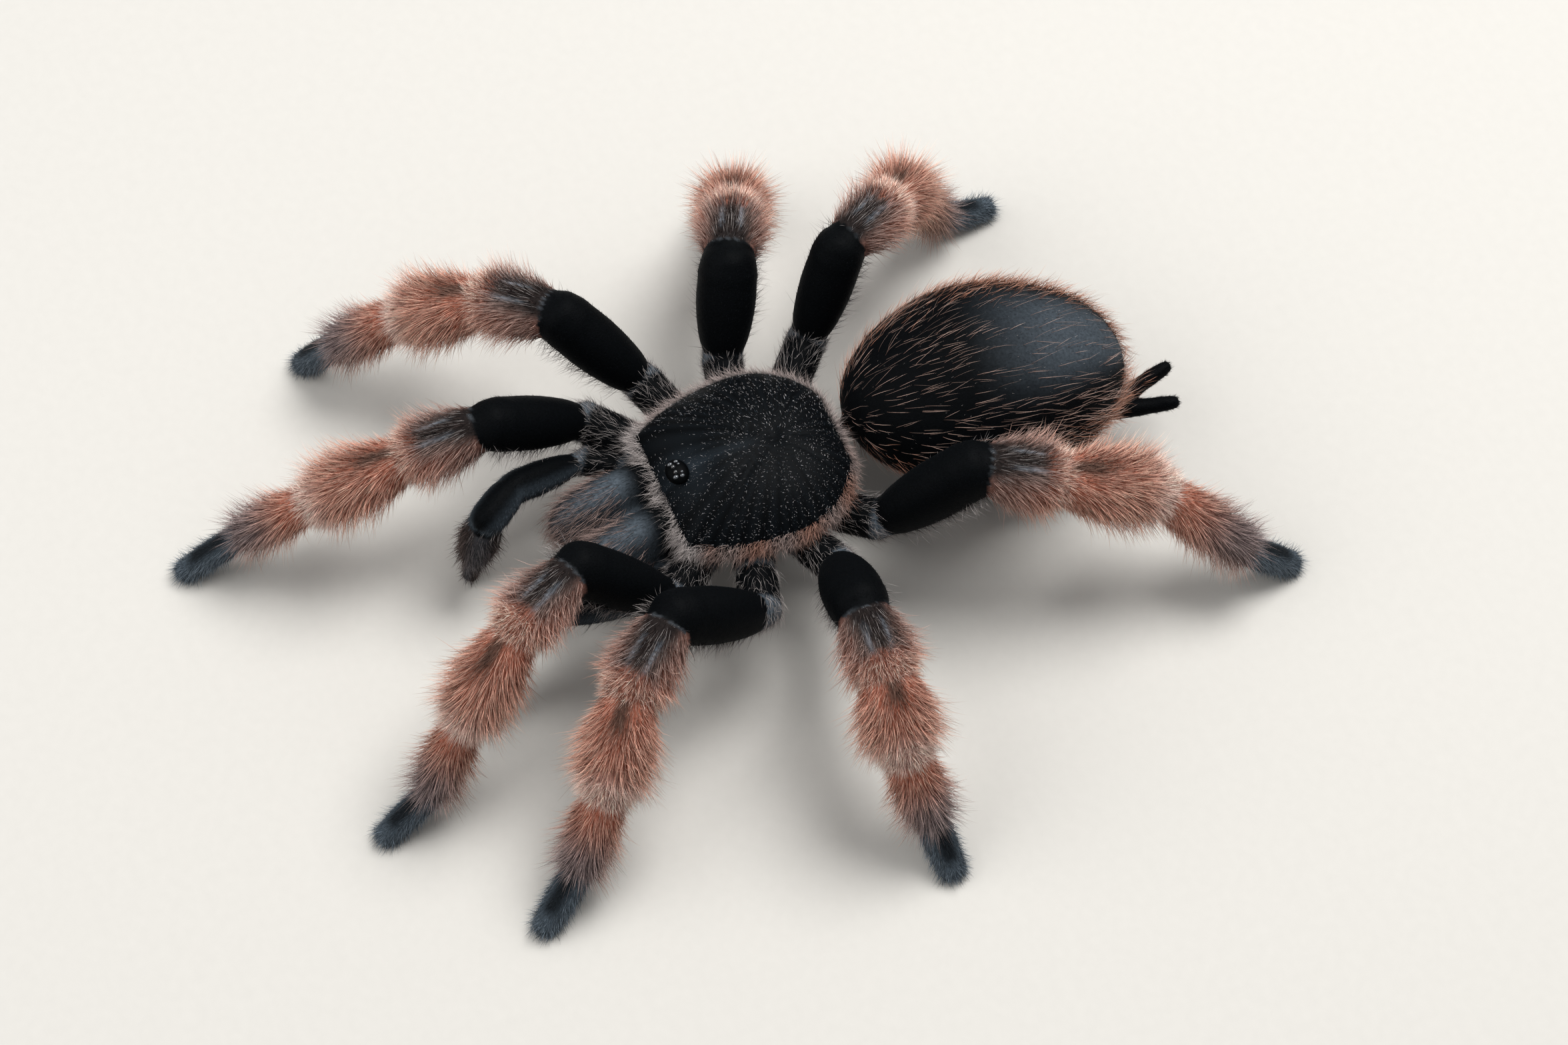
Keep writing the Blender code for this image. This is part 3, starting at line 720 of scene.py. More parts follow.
def abdomen_ends():
    """Two points on the abdomen's long axis, one in its front half and one near its rear."""
    points, _ = node_points("abdomen")
    middle = node_middle("abdomen")
    spread = points[:, :2] - middle[:2]
    _, axes = np.linalg.eigh(spread.T @ spread)
    axis = np.array((*axes[:, 1], 0.0)) * np.sign(axes[1, 1])
    reach = (points - middle) @ axis
    return middle + axis * reach.min() * 0.6, middle + axis * reach.max() * 0.9


def spinneret_ends(side):
    """The root and the tip of a spinneret, the root being the end nearer the abdomen."""
    points, _ = node_points(f"spinneret_{side}")
    middle = points.mean(0)
    _, _, turns = np.linalg.svd(points - middle, full_matrices=False)
    run = turns[0] * np.sign(turns[0][1])
    reach = (points - middle) @ run
    return middle + run * reach.min(), middle + run * reach.max()


ABDOMEN_GRAIN = 0.8 * MM  # cells that smooth the copy of the abdomen
FANG_RADIUS = 0.95 * MM
NOT_FLESH = ("carapace", "eyes", "fang_left", "fang_right")


class TARANTULA_OT_skin(bpy.types.Operator):
    """Model the one skin of trunk, limbs, jaws and abdomen"""

    bl_idname = "tarantula.skin"
    bl_label = "Skin"

    def execute(self, context):
        _, sizes, _ = settings()
        shapes = []
        for stretch in find_stretches():
            radius_at = partial(skin_radius, stretch)
            cap = CAPS.get(stretch.segment, USUAL_CAP)
            shapes.append(add_segment("flesh", stretch.start, stretch.end, radius_at, cap))
        shapes += [self.trunk(), self.abdomen(sizes.abdomen_depth), self.waist()]
        for side in SIDES:
            shapes += [self.jaw(side), self.fang_base(side), self.spinneret(side)]
        skin = join_pieces("skin", shapes)
        apply_modifier(skin, "REMESH", mode="VOXEL", voxel_size=sizes.voxel)
        apply_modifier(skin, "SMOOTH", factor=0.5, iterations=3)
        points = surface_of(skin).points
        points[:, 2] = np.maximum(points[:, 2], SOLE_GAP)
        move_points(skin, points)
        select_only(skin)
        bpy.ops.object.shade_smooth()
        stretches = all_stretches()
        root, tip = body_colours(locate(points.astype(float), stretches), stretches)
        paint(skin, mix(root, tip, 0.12))
        replaced = [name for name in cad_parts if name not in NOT_FLESH]
        finish_piece(skin, cuticle_material(), replaced)
        return {"FINISHED"}

    def trunk(self):
        """The flesh under the head plate and between the hips."""
        middle = node_middle("sternum_and_coxae")
        low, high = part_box("carapace")
        plate = node_middle("carapace")
        half = np.array(((high.x - low.x) * 0.41, (high.y - low.y) * 0.45, 3.9 * MM))
        centre = np.array((plate[0], plate[1] + 0.3 * MM, middle[2] + 0.5 * MM))
        return add_sphere("flesh", 48, 24, lambda points: centre + points * half)

    def abdomen(self, depth):
        """A copy of the abdomen's solid, smoothed and drawn in by the coat's depth."""
        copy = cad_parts["abdomen"].copy()
        copy.data = copy.data.copy()
        copy.parent = None
        for key in list(copy.keys()):
            del copy[key]
        bpy.context.scene.collection.objects.link(copy)
        select_only(copy)
        bpy.ops.object.mode_set(mode="EDIT")
        bpy.ops.mesh.select_all(action="SELECT")
        bpy.ops.mesh.remove_doubles(threshold=0.02 * MM)
        bpy.ops.object.mode_set(mode="OBJECT")
        apply_modifier(copy, "REMESH", mode="VOXEL", voxel_size=ABDOMEN_GRAIN)
        apply_modifier(copy, "SMOOTH", factor=0.5, iterations=12)
        surface = surface_of(copy)
        start, end = abdomen_ends()
        share = (surface.points - start) @ (end - start) / ((end - start) @ (end - start))
        inward = (0.35 + 0.65 * ramp(share, 0.16, 0.8)) * depth
        move_points(copy, surface.points - surface.normals * inward[:, None])
        return copy

    def waist(self):
        """The narrow stalk between trunk and abdomen."""
        low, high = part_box("pedicel")
        x, z = (low.x + high.x) / 2.0, (low.z + high.z) / 2.0
        start, end = np.array((x, low.y - 1.0 * MM, z)), np.array((x, high.y + 3.0 * MM, z))
        return add_segment("flesh", start, end, lambda t: 1.25 * MM + 0.0 * np.asarray(t))

    def jaw(self, side):
        """A jaw, round in front, that bends down towards its fang."""
        low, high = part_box(f"chelicera_{side}")
        sign = 1.0 if side == "left" else -1.0
        middle_x, middle_z = (low.x + high.x) / 2.0, (low.z + high.z) / 2.0
        reach = high.y - low.y

        def path(share):
            share = np.asarray(share)
            x = middle_x - sign * 0.45 * MM * (1.0 - ramp(share, 0.0, 0.5))
            y = high.y + 1.6 * MM - (reach + 1.3 * MM) * share
            z = middle_z + 1.4 * MM - 4.4 * MM * share**1.6 + 1.0 * MM * share
            return np.column_stack((x, y, z))

        def rounding(share):
            return np.sqrt(np.clip(1.0 - (np.abs(share - 0.45) / 0.55) ** 3.4, 0.0, 1.0))

        def half_width(share):
            return (high.x - low.x) / 2.0 * 0.99 * rounding(share)

        def half_height(share):
            return (4.3 - 1.3 * share) * MM * rounding(share)

        return add_sphere("flesh", 40, 40, tube_shape(path, half_width, half_height))

    def fang_base(self, side):
        """The stub under the jaw's front end that holds the fang's root."""
        low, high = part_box(f"fang_{side}")
        across = high.x - FANG_RADIUS if side == "left" else low.x + FANG_RADIUS
        root = np.array((across, low.y + 0.9 * MM, high.z - 0.9 * MM))
        end = root + (0.0, 0.5 * MM, 3.8 * MM)
        return add_segment("flesh", root, end, lambda t: (1.4 + 0.4 * np.asarray(t)) * MM)

    def spinneret(self, side):
        """A spinneret, with its joint near the tip."""
        start, end = spinneret_ends(side)
        run = unit(end - start)
        root = start - run * 4.5 * MM

        def radius(share):
            joint = 0.07 * window(share, 0.66, 0.72, 0.03)
            return (1.2 - 0.3 * np.asarray(share) ** 4 - joint) * MM

        return add_segment("flesh", root, end - run * 0.4 * MM, radius, 0.7)


# ---------------------------------------------------------------- the head plate

# Places on the plate's middle line, as shares of its length from its front edge
CENTRE_SHARE = 0.492
WIDEST_SHARE = 0.572
FOVEA_SHARE = 0.64
HALVINGS = 30
FURROWS = (  # bearing from straight ahead, half width in radians, depth in millimetres
    (0.62, 0.09, 0.26),
    (1.22, 0.07, 0.16),
    (1.72, 0.07, 0.17),
    (2.3, 0.08, 0.15),
    (2.85, 0.07, 0.1),
)


def plate_spot(share):
    """The place under the plate's middle line at a share of its length, at its lower edge."""
    low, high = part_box("carapace")
    return np.array(((low.x + high.x) / 2.0, low.y + share * (high.y - low.y), low.z))


def plate_half_width(y):
    """Half the plate's width at y: two half ellipses, of which the front one is longer."""
    low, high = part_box("carapace")
    span = high.y - low.y
    widest = plate_spot(WIDEST_SHARE)[1]
    reach = np.where(y < widest, 0.82 * span, 0.472 * span)
    return (high.x - low.x) / 2.0 * np.sqrt(np.clip(1.0 - ((y - widest) / reach) ** 2, 0.0, 1.0))


def plate_margin(turn):
    """How far the plate reaches from its centre in each direction turn, found by halving."""
    low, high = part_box("carapace")
    centre = plate_spot(CENTRE_SHARE)
    near, far = np.zeros(len(turn)), np.full(len(turn), high.y - low.y)
    for _ in range(HALVINGS):
        reach = (near + far) / 2.0
        x, y = np.cos(turn) * reach, centre[1] + np.sin(turn) * reach
        inside = (y > low.y) & (y < high.y) & (abs(x) < plate_half_width(y))
        near, far = np.where(inside, reach, near), np.where(inside, far, reach)
    return near


def plate_spread(points):
    """How far points lie from the plate's centre, as shares of the way to its margin."""
    x, y, _ = (points - plate_spot(CENTRE_SHARE)).T
    return np.hypot(x, y) / plate_margin(np.arctan2(y, x))


def plate_height(x, y, spread):
    """Height of the plate's top, with its furrows; x is taken from the middle line."""
    low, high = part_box("carapace")
    fovea = plate_spot(FOVEA_SHARE)[1]
    rise = high.z - low.z
    dome = 0.745 * rise * (1.0 - spread**3.2) ** 0.75
    head = 0.8 * MM * np.exp(-((x / (5.5 * MM)) ** 2)) * ramp(fovea - y, 0.0, 9.0 * MM)
    pit = 0.42 * MM * np.exp(-((x / (1.5 * MM)) ** 2) - ((y - fovea) / (0.8 * MM)) ** 2)
    bearing = abs(np.arctan2(x, fovea - y))
    away = np.hypot(x, y - fovea)
    furrows = np.zeros(len(x))
    for place, width, depth in FURROWS:
        bent = place + 0.012 * (away / MM - 6.0) * (1.0 if place < 1.0 else -0.4)
        line = np.exp(-(((bearing - bent) / width) ** 2))
        fade = ramp(away, 1.2 * MM, 4.0 * MM) * (1.0 - ramp(spread, 0.72, 0.97))
        furrows += depth * MM * line * fade
    eyes = node_middle("eyes")
    mound = 0.4 * MM * np.exp(-(x**2 + (y - eyes[1]) ** 2) / (2.0 * MM) ** 2)
    return low.z + 0.167 * rise + dome + (head + mound - pit) * (1.0 - spread**2) - furrows


class TARANTULA_OT_carapace(bpy.types.Operator):
    """Model the shell plate over head and thorax"""

    bl_idname = "tarantula.carapace"
    bl_label = "Head plate"

    def execute(self, context):
        colours, _, _ = settings()
        plate = add_sphere("carapace_plate", 192, 96, self.shape)
        points = surface_of(plate).points.astype(float)
        fovea = plate_spot(FOVEA_SHARE)
        x, y = points[:, 0] - fovea[0], points[:, 1]
        eyes = node_middle("eyes")
        # Painted sheen: a paler patch behind the eyes and a paler line from them to the fovea,
        # partly the plate's short blue-grey hair; the rays are a pattern of the plate
        sheen = np.exp(-((x / (3.2 * MM)) ** 2) - ((y - eyes[1] - 1.0 * MM) / (3.0 * MM)) ** 2)
        ridge_sheen = np.exp(-((x / (0.7 * MM)) ** 2)) * ramp(fovea[1] - y, 1.0 * MM, 5.0 * MM)
        bearing = np.arctan2(x, fovea[1] - y)
        rays = 0.5 + 0.5 * np.sin(bearing * 46.0 + 2.0 * np.sin(bearing * 9.0))
        weight = np.clip(0.06 * rays + 0.26 * sheen + 0.18 * ridge_sheen, 0.0, 0.6)
        paint(plate, mix(colours.shell, colours.shell_sheen, weight))
        finish_piece(plate, shell_material(), ["carapace"])
        return {"FINISHED"}

    def shape(self, points):
        """Makes the sphere's upper half the domed top and its lower half the hollow underside."""
        centre = plate_spot(CENTRE_SHARE)
        turn = np.arctan2(points[:, 1], points[:, 0])
        spread = np.clip(np.hypot(points[:, 0], points[:, 1]), 0.0, 1.0)
        spread = np.sin(spread * math.pi / 2.0)
        reach = plate_margin(turn)
        x, y = np.cos(turn) * reach * spread, centre[1] + np.sin(turn) * reach * spread
        is_under = points[:, 2] < -0.01
        under = centre[2] + 0.6 * MM * (1.0 - spread**4)
        z = np.where(is_under, under, plate_height(x, y, spread))
        tuck = np.where(is_under, 0.985, 1.0)
        return np.column_stack((centre[0] + x * tuck, centre[1] + (y - centre[1]) * tuck, z))


# Each pair of lenses: millimetres across, along and in radius, lengthening, and if it is pearly
LENSES = (
    (0.4, -0.35, 0.33, 1.0, False),
    (0.98, -0.55, 0.28, 1.35, True),
    (1.08, 0.28, 0.25, 1.3, True),
    (0.6, 0.42, 0.19, 1.1, True),
)


class TARANTULA_OT_eyes(bpy.types.Operator):
    """Model the eye mound with its eight lenses"""

    bl_idname = "tarantula.eyes"
    bl_label = "Eyes"

    def execute(self, context):
        colours, _, _ = settings()
        low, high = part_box("eyes")
        centre = np.array(((low.x + high.x) / 2.0, (low.y + high.y) / 2.0, low.z))
        half = np.array(((high.x - low.x) / 2.0, (high.y - low.y) / 2.0, (high.z - low.z) * 0.78))
        mound_half = half * (1.25, 1.25, 0.9)
        mound = add_sphere("eye_mound", 48, 24, lambda points: centre + points * mound_half)
        paint(mound, even(0.8 * np.array(colours.shell), len(mound.data.vertices)))
        finish_piece(mound, shell_material())
        dark = polished_material("dark lens", linear("07080A"), 0.06, 1.0)
        finish_piece(self.lenses("eyes_dark", centre, mound_half, False), dark, ["eyes"])
        pearly = polished_material("pearly lens", linear("3D4044"), 0.12, 1.0)
        finish_piece(self.lenses("eyes_pearly", centre, mound_half, True), pearly)
        return {"FINISHED"}

    def lenses(self, name, centre, half, pearly):
        """The pearly lenses or the dark ones, half sunk in the mound."""
        shapes = []
        for across, along, radius, stretch, is_pearly in LENSES:
            if is_pearly != pearly:
                continue
            for side in (1.0, -1.0):
                x, y = side * across * MM, along * MM
                lift = max(1.0 - (x / half[0]) ** 2 - (y / half[1]) ** 2, 0.05)
                spot = centre + (x, y, half[2] * math.sqrt(lift) - 0.12 * MM)
                size = np.array((1.0, stretch, 1.0)) * radius * MM
                shape = partial(self.place_lens, spot, size)
                shapes.append(add_sphere("lens", 24, 16, shape))
        return join_pieces(name, shapes)

    def place_lens(self, spot, size, points):
        """The sphere's points drawn out to a lens at its spot."""
        return spot + points * size


CLAW_RADIUS = 0.13 * MM
FANG_SWING = math.radians(70.0)  # how far a fang's arc turns from its root to its tip


class TARANTULA_OT_horn(bpy.types.Operator):
    """Model the fangs under the jaws and the paired claws at the feet"""

    bl_idname = "tarantula.horn"
    bl_label = "Fangs and claws"

    def execute(self, context):
        colours, _, _ = settings()
        horn = polished_material("polished horn", colours.horn, 0.18, 0.4)
        for side in SIDES:
            finish_piece(self.fang(side), horn, [f"fang_{side}"])
        claws = []
        for limb, segments in LIMBS.items():
            joints = limb_joints(limb, segments)
            run = unit(joints[-1] - joints[-2])
            claws += [self.claw(joints[-1], run, sign) for sign in (-1.0, 1.0)]
        finish_piece(join_pieces("claws", claws), horn)
        return {"FINISHED"}

    def claw(self, tip, run, sign):
        """One of the two claws at a foot's tip, on the side that sign gives."""
        across = unit(np.cross(UP, run))
        upper = np.cross(run, across)
        root = tip - run * 0.5 * MM + across * sign * 0.3 * MM

        def path(share):
            share = np.asarray(share)[:, None]
            arch = np.sin(share * math.pi * 0.75)
            points = (
                root + run * share * 0.95 * MM + upper * (0.32 * arch - 0.1) * MM
                + across * sign * share * 0.22 * MM
            )
            points[:, 2] = np.maximum(points[:, 2], CLAW_RADIUS + FLOOR_GAP)
            return points

        def thick(share):
            return CLAW_RADIUS * np.sqrt(np.clip(1.0 - np.asarray(share), 0.0, 1.0))

        return add_sphere("claw", 8, 10, tube_shape(path, thick, thick))

    def fang(self, side):
        """A fang folded under its jaw: it runs inwards and curves down and back up."""
        low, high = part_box(f"fang_{side}")
        sign, outer, inner = (1.0, high.x, low.x) if side == "left" else (-1.0, low.x, high.x)
        width = inner - outer + sign * (FANG_RADIUS + 0.15 * MM)
        reach = high.y - low.y - 1.0 * MM

        def path(share):
            share = np.asarray(share)
            swing = share * FANG_SWING
            x = outer - sign * FANG_RADIUS + width * share
            y = low.y + 0.9 * MM + reach * np.sin(swing) / math.sin(FANG_SWING)
            z = high.z - FANG_RADIUS - 1.65 * MM * np.sin(2.0 * swing)
            return np.column_stack((x, y, z))

        def thick(share):
            share = np.asarray(share)
            rounding = np.clip(1.0 - share**12, 0.0, 1.0) * np.clip(share / 0.06, 0.0, 1.0)
            return (0.95 - 0.83 * share**0.8) * MM * np.sqrt(rounding)

        return add_sphere(f"fang_{side}_horn", 24, 40, tube_shape(path, thick, thick))


# ---------------------------------------------------------------- the coat

ROOT_DEPTH = 0.12  # millimetres by which a hair's root is sunk under the skin
UV_PATCH = (0.003, 0.0014)  # length and half width of a hair in the map of colours
TONES = {  # the settings that hold a tone's root and tip colours
    "ash": ("grey_root", "ash"),
    "grey": ("grey_root", "grey_tip"),
    "orange": ("orange_root", "orange_tip"),
    "ring": ("salmon_tip", "ring"),
    "tan": ("tan_root", "tan_tip"),
    "velvet": ("velvet", "velvet_tip"),
}


def everywhere(place):
    """The density of a layer that covers its whole segment."""
    return np.ones(len(place.share))


# One layer of hairs over part of the body, with its length and thickness in millimetres and its
# lift off the skin in degrees. where() gives its density at a place, from 0 to 1, trim() is a
# factor for the length, wild says how far the hairs stray and past is how many millimetres they
# may reach beyond the end of their segment
Layer = namedtuple(
    "Layer", "per_mm2 length spread thick lift droop rings tone where trim wild past",
    defaults=(everywhere, None, 0.16, None),
)
Hairs = namedtuple("Hairs", "points colours uvs triangles")


def scatter(surface, per_triangle, rng):
    """Roots spread over the triangles, with per_triangle hairs to a square millimetre."""
    a, b, c = (surface.points[surface.triangles[:, i]].astype(float) for i in range(3))
    areas = np.linalg.norm(np.cross(b - a, c - a), axis=1) / 2.0 / MM**2
    counts = np.floor(areas * per_triangle + rng.random(len(areas))).astype(int)
    chosen = np.repeat(np.arange(len(counts)), counts)
    u, v = rng.random((2, len(chosen)))
    over = u + v > 1.0
    u, v = np.where(over, 1.0 - u, u), np.where(over, 1.0 - v, v)
    weights = np.column_stack((1.0 - u - v, u, v))
    corners = surface.triangles[chosen]
    points = (surface.points[corners] * weights[:, :, None]).sum(1).astype(float)
    normals = unit((surface.normals[corners] * weights[:, :, None]).sum(1))
    return points, normals


def grow(roots, normals, runs, lengths, thick, lift, layer, rng):
    """Closed three-sided hairs: rings of three corners, and then one tip."""
    count = len(roots)
    level = unit(runs - normals * (runs * normals).sum(1)[:, None])
    lift = lift * (1.0 + 0.3 * rng.standard_normal(count))
    out = level * np.cos(lift)[:, None] + normals * np.sin(lift)[:, None]
    out = unit(out + layer.wild * rng.standard_normal((count, 3)))
    stray = 0.45 * layer.wild * rng.standard_normal((count, 3))
    bend = (level - normals * 0.6) * layer.droop + stray
    steps = np.arange(layer.rings) / layer.rings
    sunk = roots - normals * ROOT_DEPTH * MM
    reach = lengths[:, None, None]
    line = sunk[:, None] + reach * (
        steps[None, :, None] * out[:, None] + (steps**2)[None, :, None] * bend[:, None]
    )
    tips = sunk + lengths[:, None] * (out + bend)
    first = unit(np.cross(out, rng.standard_normal((count, 3))))
    second = np.cross(out, first)
    turns = (2.0 * math.pi / 3.0 * np.arange(3))[None, :, None]
    section = np.cos(turns) * first[:, None] + np.sin(turns) * second[:, None]
    taper = (1.0 - 0.85 * steps)[None, :, None, None] * thick[:, None, None, None] / 2.0
    rings_at = line[:, :, None] + taper * section[:, None]
    points = np.concatenate((rings_at.reshape(count, -1, 3), tips[:, None]), axis=1)
    points[:, :, 2] = np.maximum(points[:, :, 2], FLOOR_GAP)
    return points


def hair_triangles(rings):
    """The triangles of one hair of rings rings of three corners and a tip."""
    faces = [(0, 2, 1)]
    for ring in range(rings - 1):
        for corner in range(3):
            here, ahead = ring * 3 + corner, ring * 3 + (corner + 1) % 3
            faces += [(here, ahead, ahead + 3), (here, ahead + 3, here + 3)]
    last = (rings - 1) * 3
    faces += [(last + corner, last + (corner + 1) % 3, rings * 3) for corner in range(3)]
    return np.array(faces)


def make_hairs(roots, normals, runs, uvs, tones, layer, rng, trim=1.0, share=0.5):
    """Hairs of one layer, with tones at root and tip, as arrays to be joined into a piece."""
    _, sizes, _ = settings()
    count = len(roots)
    lengths = layer.length * MM * trim * (1.0 + layer.spread * (rng.random(count) * 2.0 - 1.0))
    thick = layer.thick * MM * sizes.thickness * (0.75 + 0.5 * rng.random(count))
    lift = np.full(count, math.radians(layer.lift)) * (0.5 + 0.85 * share)
    points = grow(roots, normals, runs, lengths, thick, lift, layer, rng)
    height = np.append(np.repeat(np.arange(layer.rings) / layer.rings, 3), 1.0)
    bright = (0.42 + 1.15 * rng.random(count))[:, None, None]
    blend = (np.clip(height * 1.25, 0.0, 1.0) ** 1.4)[None, :, None]
    root_tone, tip_tone = tones
    colours = (root_tone[:, None] * (1.0 - blend) + tip_tone[:, None] * blend) * bright
    across = np.append(np.tile((-1.0, 0.0, 1.0), layer.rings), 0.0) * UV_PATCH[1]
    patch = np.column_stack((UV_PATCH[0] * (height - 0.5), across))
    corner_uvs = uvs[:, None] + patch[None]
    size = points.shape[1]
    triangles = hair_triangles(layer.rings)[None] + (np.arange(count) * size)[:, None, None]
    return Hairs(
        points.reshape(-1, 3), colours.reshape(-1, 3), corner_uvs.reshape(-1, 2),
        triangles.reshape(-1, 3),
    )


def coat_piece(name, batches, material):
    """One piece of the coat from several batches of hairs."""
    batches = [batch for batch in batches if len(batch.points)]
    starts = np.cumsum([0] + [len(batch.points) for batch in batches[:-1]])
    points = np.concatenate([batch.points for batch in batches]).astype(np.float32)
    colours = np.concatenate([batch.colours for batch in batches])
    uvs = np.concatenate([batch.uvs for batch in batches]).astype(np.float32)
    triangles = np.concatenate([b.triangles + s for b, s in zip(batches, starts)]).astype(np.int32)
    mesh = bpy.data.meshes.new(name)
    mesh.vertices.add(len(points))
    mesh.vertices.foreach_set("co", points.ravel())
    mesh.loops.add(triangles.size)
    mesh.loops.foreach_set("vertex_index", triangles.ravel())
    mesh.polygons.add(len(triangles))
    mesh.polygons.foreach_set("loop_start", np.arange(0, triangles.size, 3, dtype=np.int32))
    mesh.update(calc_edges=True)
    mesh.shade_smooth()
    bake = mesh.uv_layers.new(name="OFBake")
    bake.data.foreach_set("uv", np.clip(uvs[triangles.ravel()], 0.0, 1.0).ravel())
    piece = bpy.data.objects.new(name, mesh)
    bpy.context.scene.collection.objects.link(piece)
    paint(piece, np.clip(colours, 0.0, 1.0))
    finish_piece(piece, material)


def puffed(place):
    """A factor for the length: hair is short where a leg's segment starts, and then full."""
    return 0.24 + 0.76 * ramp(place.share, 0.0, 0.48)


def flank(first, last):
    """A function for a layer's density: none on top, and full beyond the turn last."""
    return lambda place: ramp(abs(place.turn), first, last)


def far_ring(place):
    """The density of a layer at a segment's far end."""
    return ramp(place.share, 0.93, 0.97)


def leg_layers(segment):
    """The layers of hair on a leg's segment or on a hip, the long ones first."""
    if segment == "femur":
        return (
            Layer(5.0, 2.5, 0.3, 0.06, 66, 0.12, 2, "ash", flank(1.6, 2.2)),
            Layer(5.0, 0.5, 0.3, 0.07, 30, 0.1, 1, None),
            Layer(14.0, 0.5, 0.3, 0.045, 20, 0.1, 1, "ash", knee_line),
        )
    if segment == "patella":
        def clothed(place):
            return (1.0 - 0.72 * patella_crown(place)) * (1.0 - 0.8 * patella_stripe(place))

        def streaks(place):
            return patella_crown(place) * (1.0 - 0.9 * patella_stripe(place))

        return (
            Layer(9.5, 3.6, 0.35, 0.08, 44, 0.02, 2, None, clothed, puffed, 0.12, 1.3),
            Layer(9.0, 1.8, 0.4, 0.075, 34, 0.1, 1, None, clothed, None, 0.14, 1.0),
            Layer(4.2, 2.4, 0.3, 0.05, 16, 0.05, 2, "ash", streaks, None, 0.09, 0.9),
            Layer(9.0, 0.8, 0.3, 0.07, 18, 0.1, 1, None, streaks),
            Layer(9.0, 1.8, 0.3, 0.075, 50, 0.1, 1, "ring", far_ring, None, 0.16, 1.2),
        )
    if segment == "tibia":
        def parted(place):
            return 0.55 + 0.45 * ramp(abs(place.turn), 0.1, 0.6)

        return (
            Layer(10.5, 4.0, 0.35, 0.08, 46, 0.0, 2, None, parted, puffed, 0.12, 1.3),
            Layer(11.0, 2.2, 0.4, 0.08, 36, 0.08, 1, None, everywhere, puffed, 0.14, 1.1),
            Layer(15.0, 2.0, 0.3, 0.08, 56, 0.1, 1, "ring", far_ring, None, 0.16, 1.2),
        )
    if segment == "metatarsus":
        return (
            Layer(10.5, 3.6, 0.35, 0.075, 44, 0.0, 2, None, everywhere, puffed, 0.12, 1.6),
            Layer(11.0, 1.9, 0.4, 0.075, 34, 0.08, 1, None, everywhere, puffed, 0.14, 1.0),
        )
    if segment == "tarsus":
        def brush(place):
            return np.maximum(ramp(abs(place.turn), 0.5, 1.0), ramp(place.share, 0.75, 0.95))

        return (
            Layer(13.0, 1.6, 0.3, 0.06, 42, 0.06, 2, None, brush),
            Layer(26.0, 0.8, 0.3, 0.075, 26, 0.08, 1, None),
        )

    def joints(place):
        return window(place.share, 0.86, 1.1, 0.05) + window(place.share, 0.35, 0.5, 0.05)

    return (
        Layer(4.6, 1.6, 0.4, 0.055, 30, 0.65, 2, "ash", everywhere, None, 0.5),
        Layer(8.0, 1.3, 0.4, 0.06, 34, 0.6, 2, "ash", joints, None, 0.5),
        Layer(5.0, 0.6, 0.4, 0.08, 30, 0.1, 1, "velvet"),
    )


def palp_layers(segment):
    """The layers of hair on a palp's segment."""
    if segment in ("tibia", "tarsus"):
        return (
            Layer(8.0, 2.0 if segment == "tibia" else 1.3, 0.4, 0.07, 36, 0.15, 2, None),
            Layer(14.0, 0.8, 0.3, 0.075, 28, 0.1, 1, None),
        )
    return (
        Layer(2.0, 1.7, 0.4, 0.07, 36, 0.12, 2, "ash", flank(1.1, 1.8)),
        Layer(10.0, 0.6, 0.3, 0.07, 30, 0.1, 1, None),
    )


def body_layers(limb):
    """The layers of hair on the abdomen, a jaw, a spinneret or the sternum."""
    if limb == "abdomen":
        def sparse(place):
            bare = (1.0 - ramp(abs(place.turn), 0.4, 1.0)) * ramp(place.share, 0.08, 0.4)
            low_front = (1.0 - ramp(place.share, -0.2, 0.2)) * ramp(abs(place.turn), 0.9, 1.4)
            return (1.0 - 0.5 * bare) * (1.0 - 0.8 * low_front)

        def rear(place):
            return ramp(place.share, 0.56, 0.85) * ramp(abs(place.turn), 0.5, 1.2)

        def fringe(place):
            edge = abs(place.turn - 0.35) + 0.5 * ramp(place.share, 0.88, 1.0)
            beneath = 1.0 - 0.5 * ramp(abs(place.turn), 1.6, 2.3)
            return ramp(edge, 0.75, 1.75) * (0.4 + 0.6 * ramp(place.share, 0.08, 0.5)) * beneath

        return (
            Layer(0.72, 2.9, 0.35, 0.055, 32, 0.32, 3, "tan", sparse, None, 0.2),
            Layer(0.6, 3.0, 0.3, 0.06, 38, 0.3, 3, "tan", rear, None, 0.2),
            Layer(6.0, 2.2, 0.45, 0.075, 42, 0.2, 2, "orange", fringe, None, 0.22),
            Layer(4.5, 0.6, 0.3, 0.08, 22, 0.1, 1, None),
            Layer(0.7, 0.5, 0.3, 0.06, 20, 0.1, 1, "ash"),
        )
    if limb == "chelicera":
        def streaks(place):
            return ramp(place.share, 0.1, 0.55) * (0.5 + 0.5 * ramp(abs(place.turn), 0.1, 0.9))

        return (
            Layer(11.0, 2.6, 0.35, 0.065, 26, 0.25, 2, "grey", streaks, None, 0.22),
            Layer(20.0, 0.85, 0.3, 0.08, 18, 0.1, 1, None),
        )
    if limb == "spinneret":
        return (Layer(16.0, 0.6, 0.3, 0.07, 36, 0.1, 1, None),)
    return (
        Layer(2.2, 2.8, 0.4, 0.07, 46, 0.2, 2, "ash"),
        Layer(7.0, 0.8, 0.4, 0.08, 32, 0.1, 1, "velvet"),
    )


def layers_of(stretch):
    """The layers of hair over a stretch of the skin."""
    if stretch.segment == "coxa" or stretch.limb.startswith("leg"):
        return leg_layers(stretch.segment)
    if stretch.limb.startswith("palp"):
        return palp_layers(stretch.segment)
    return body_layers(stretch.limb)


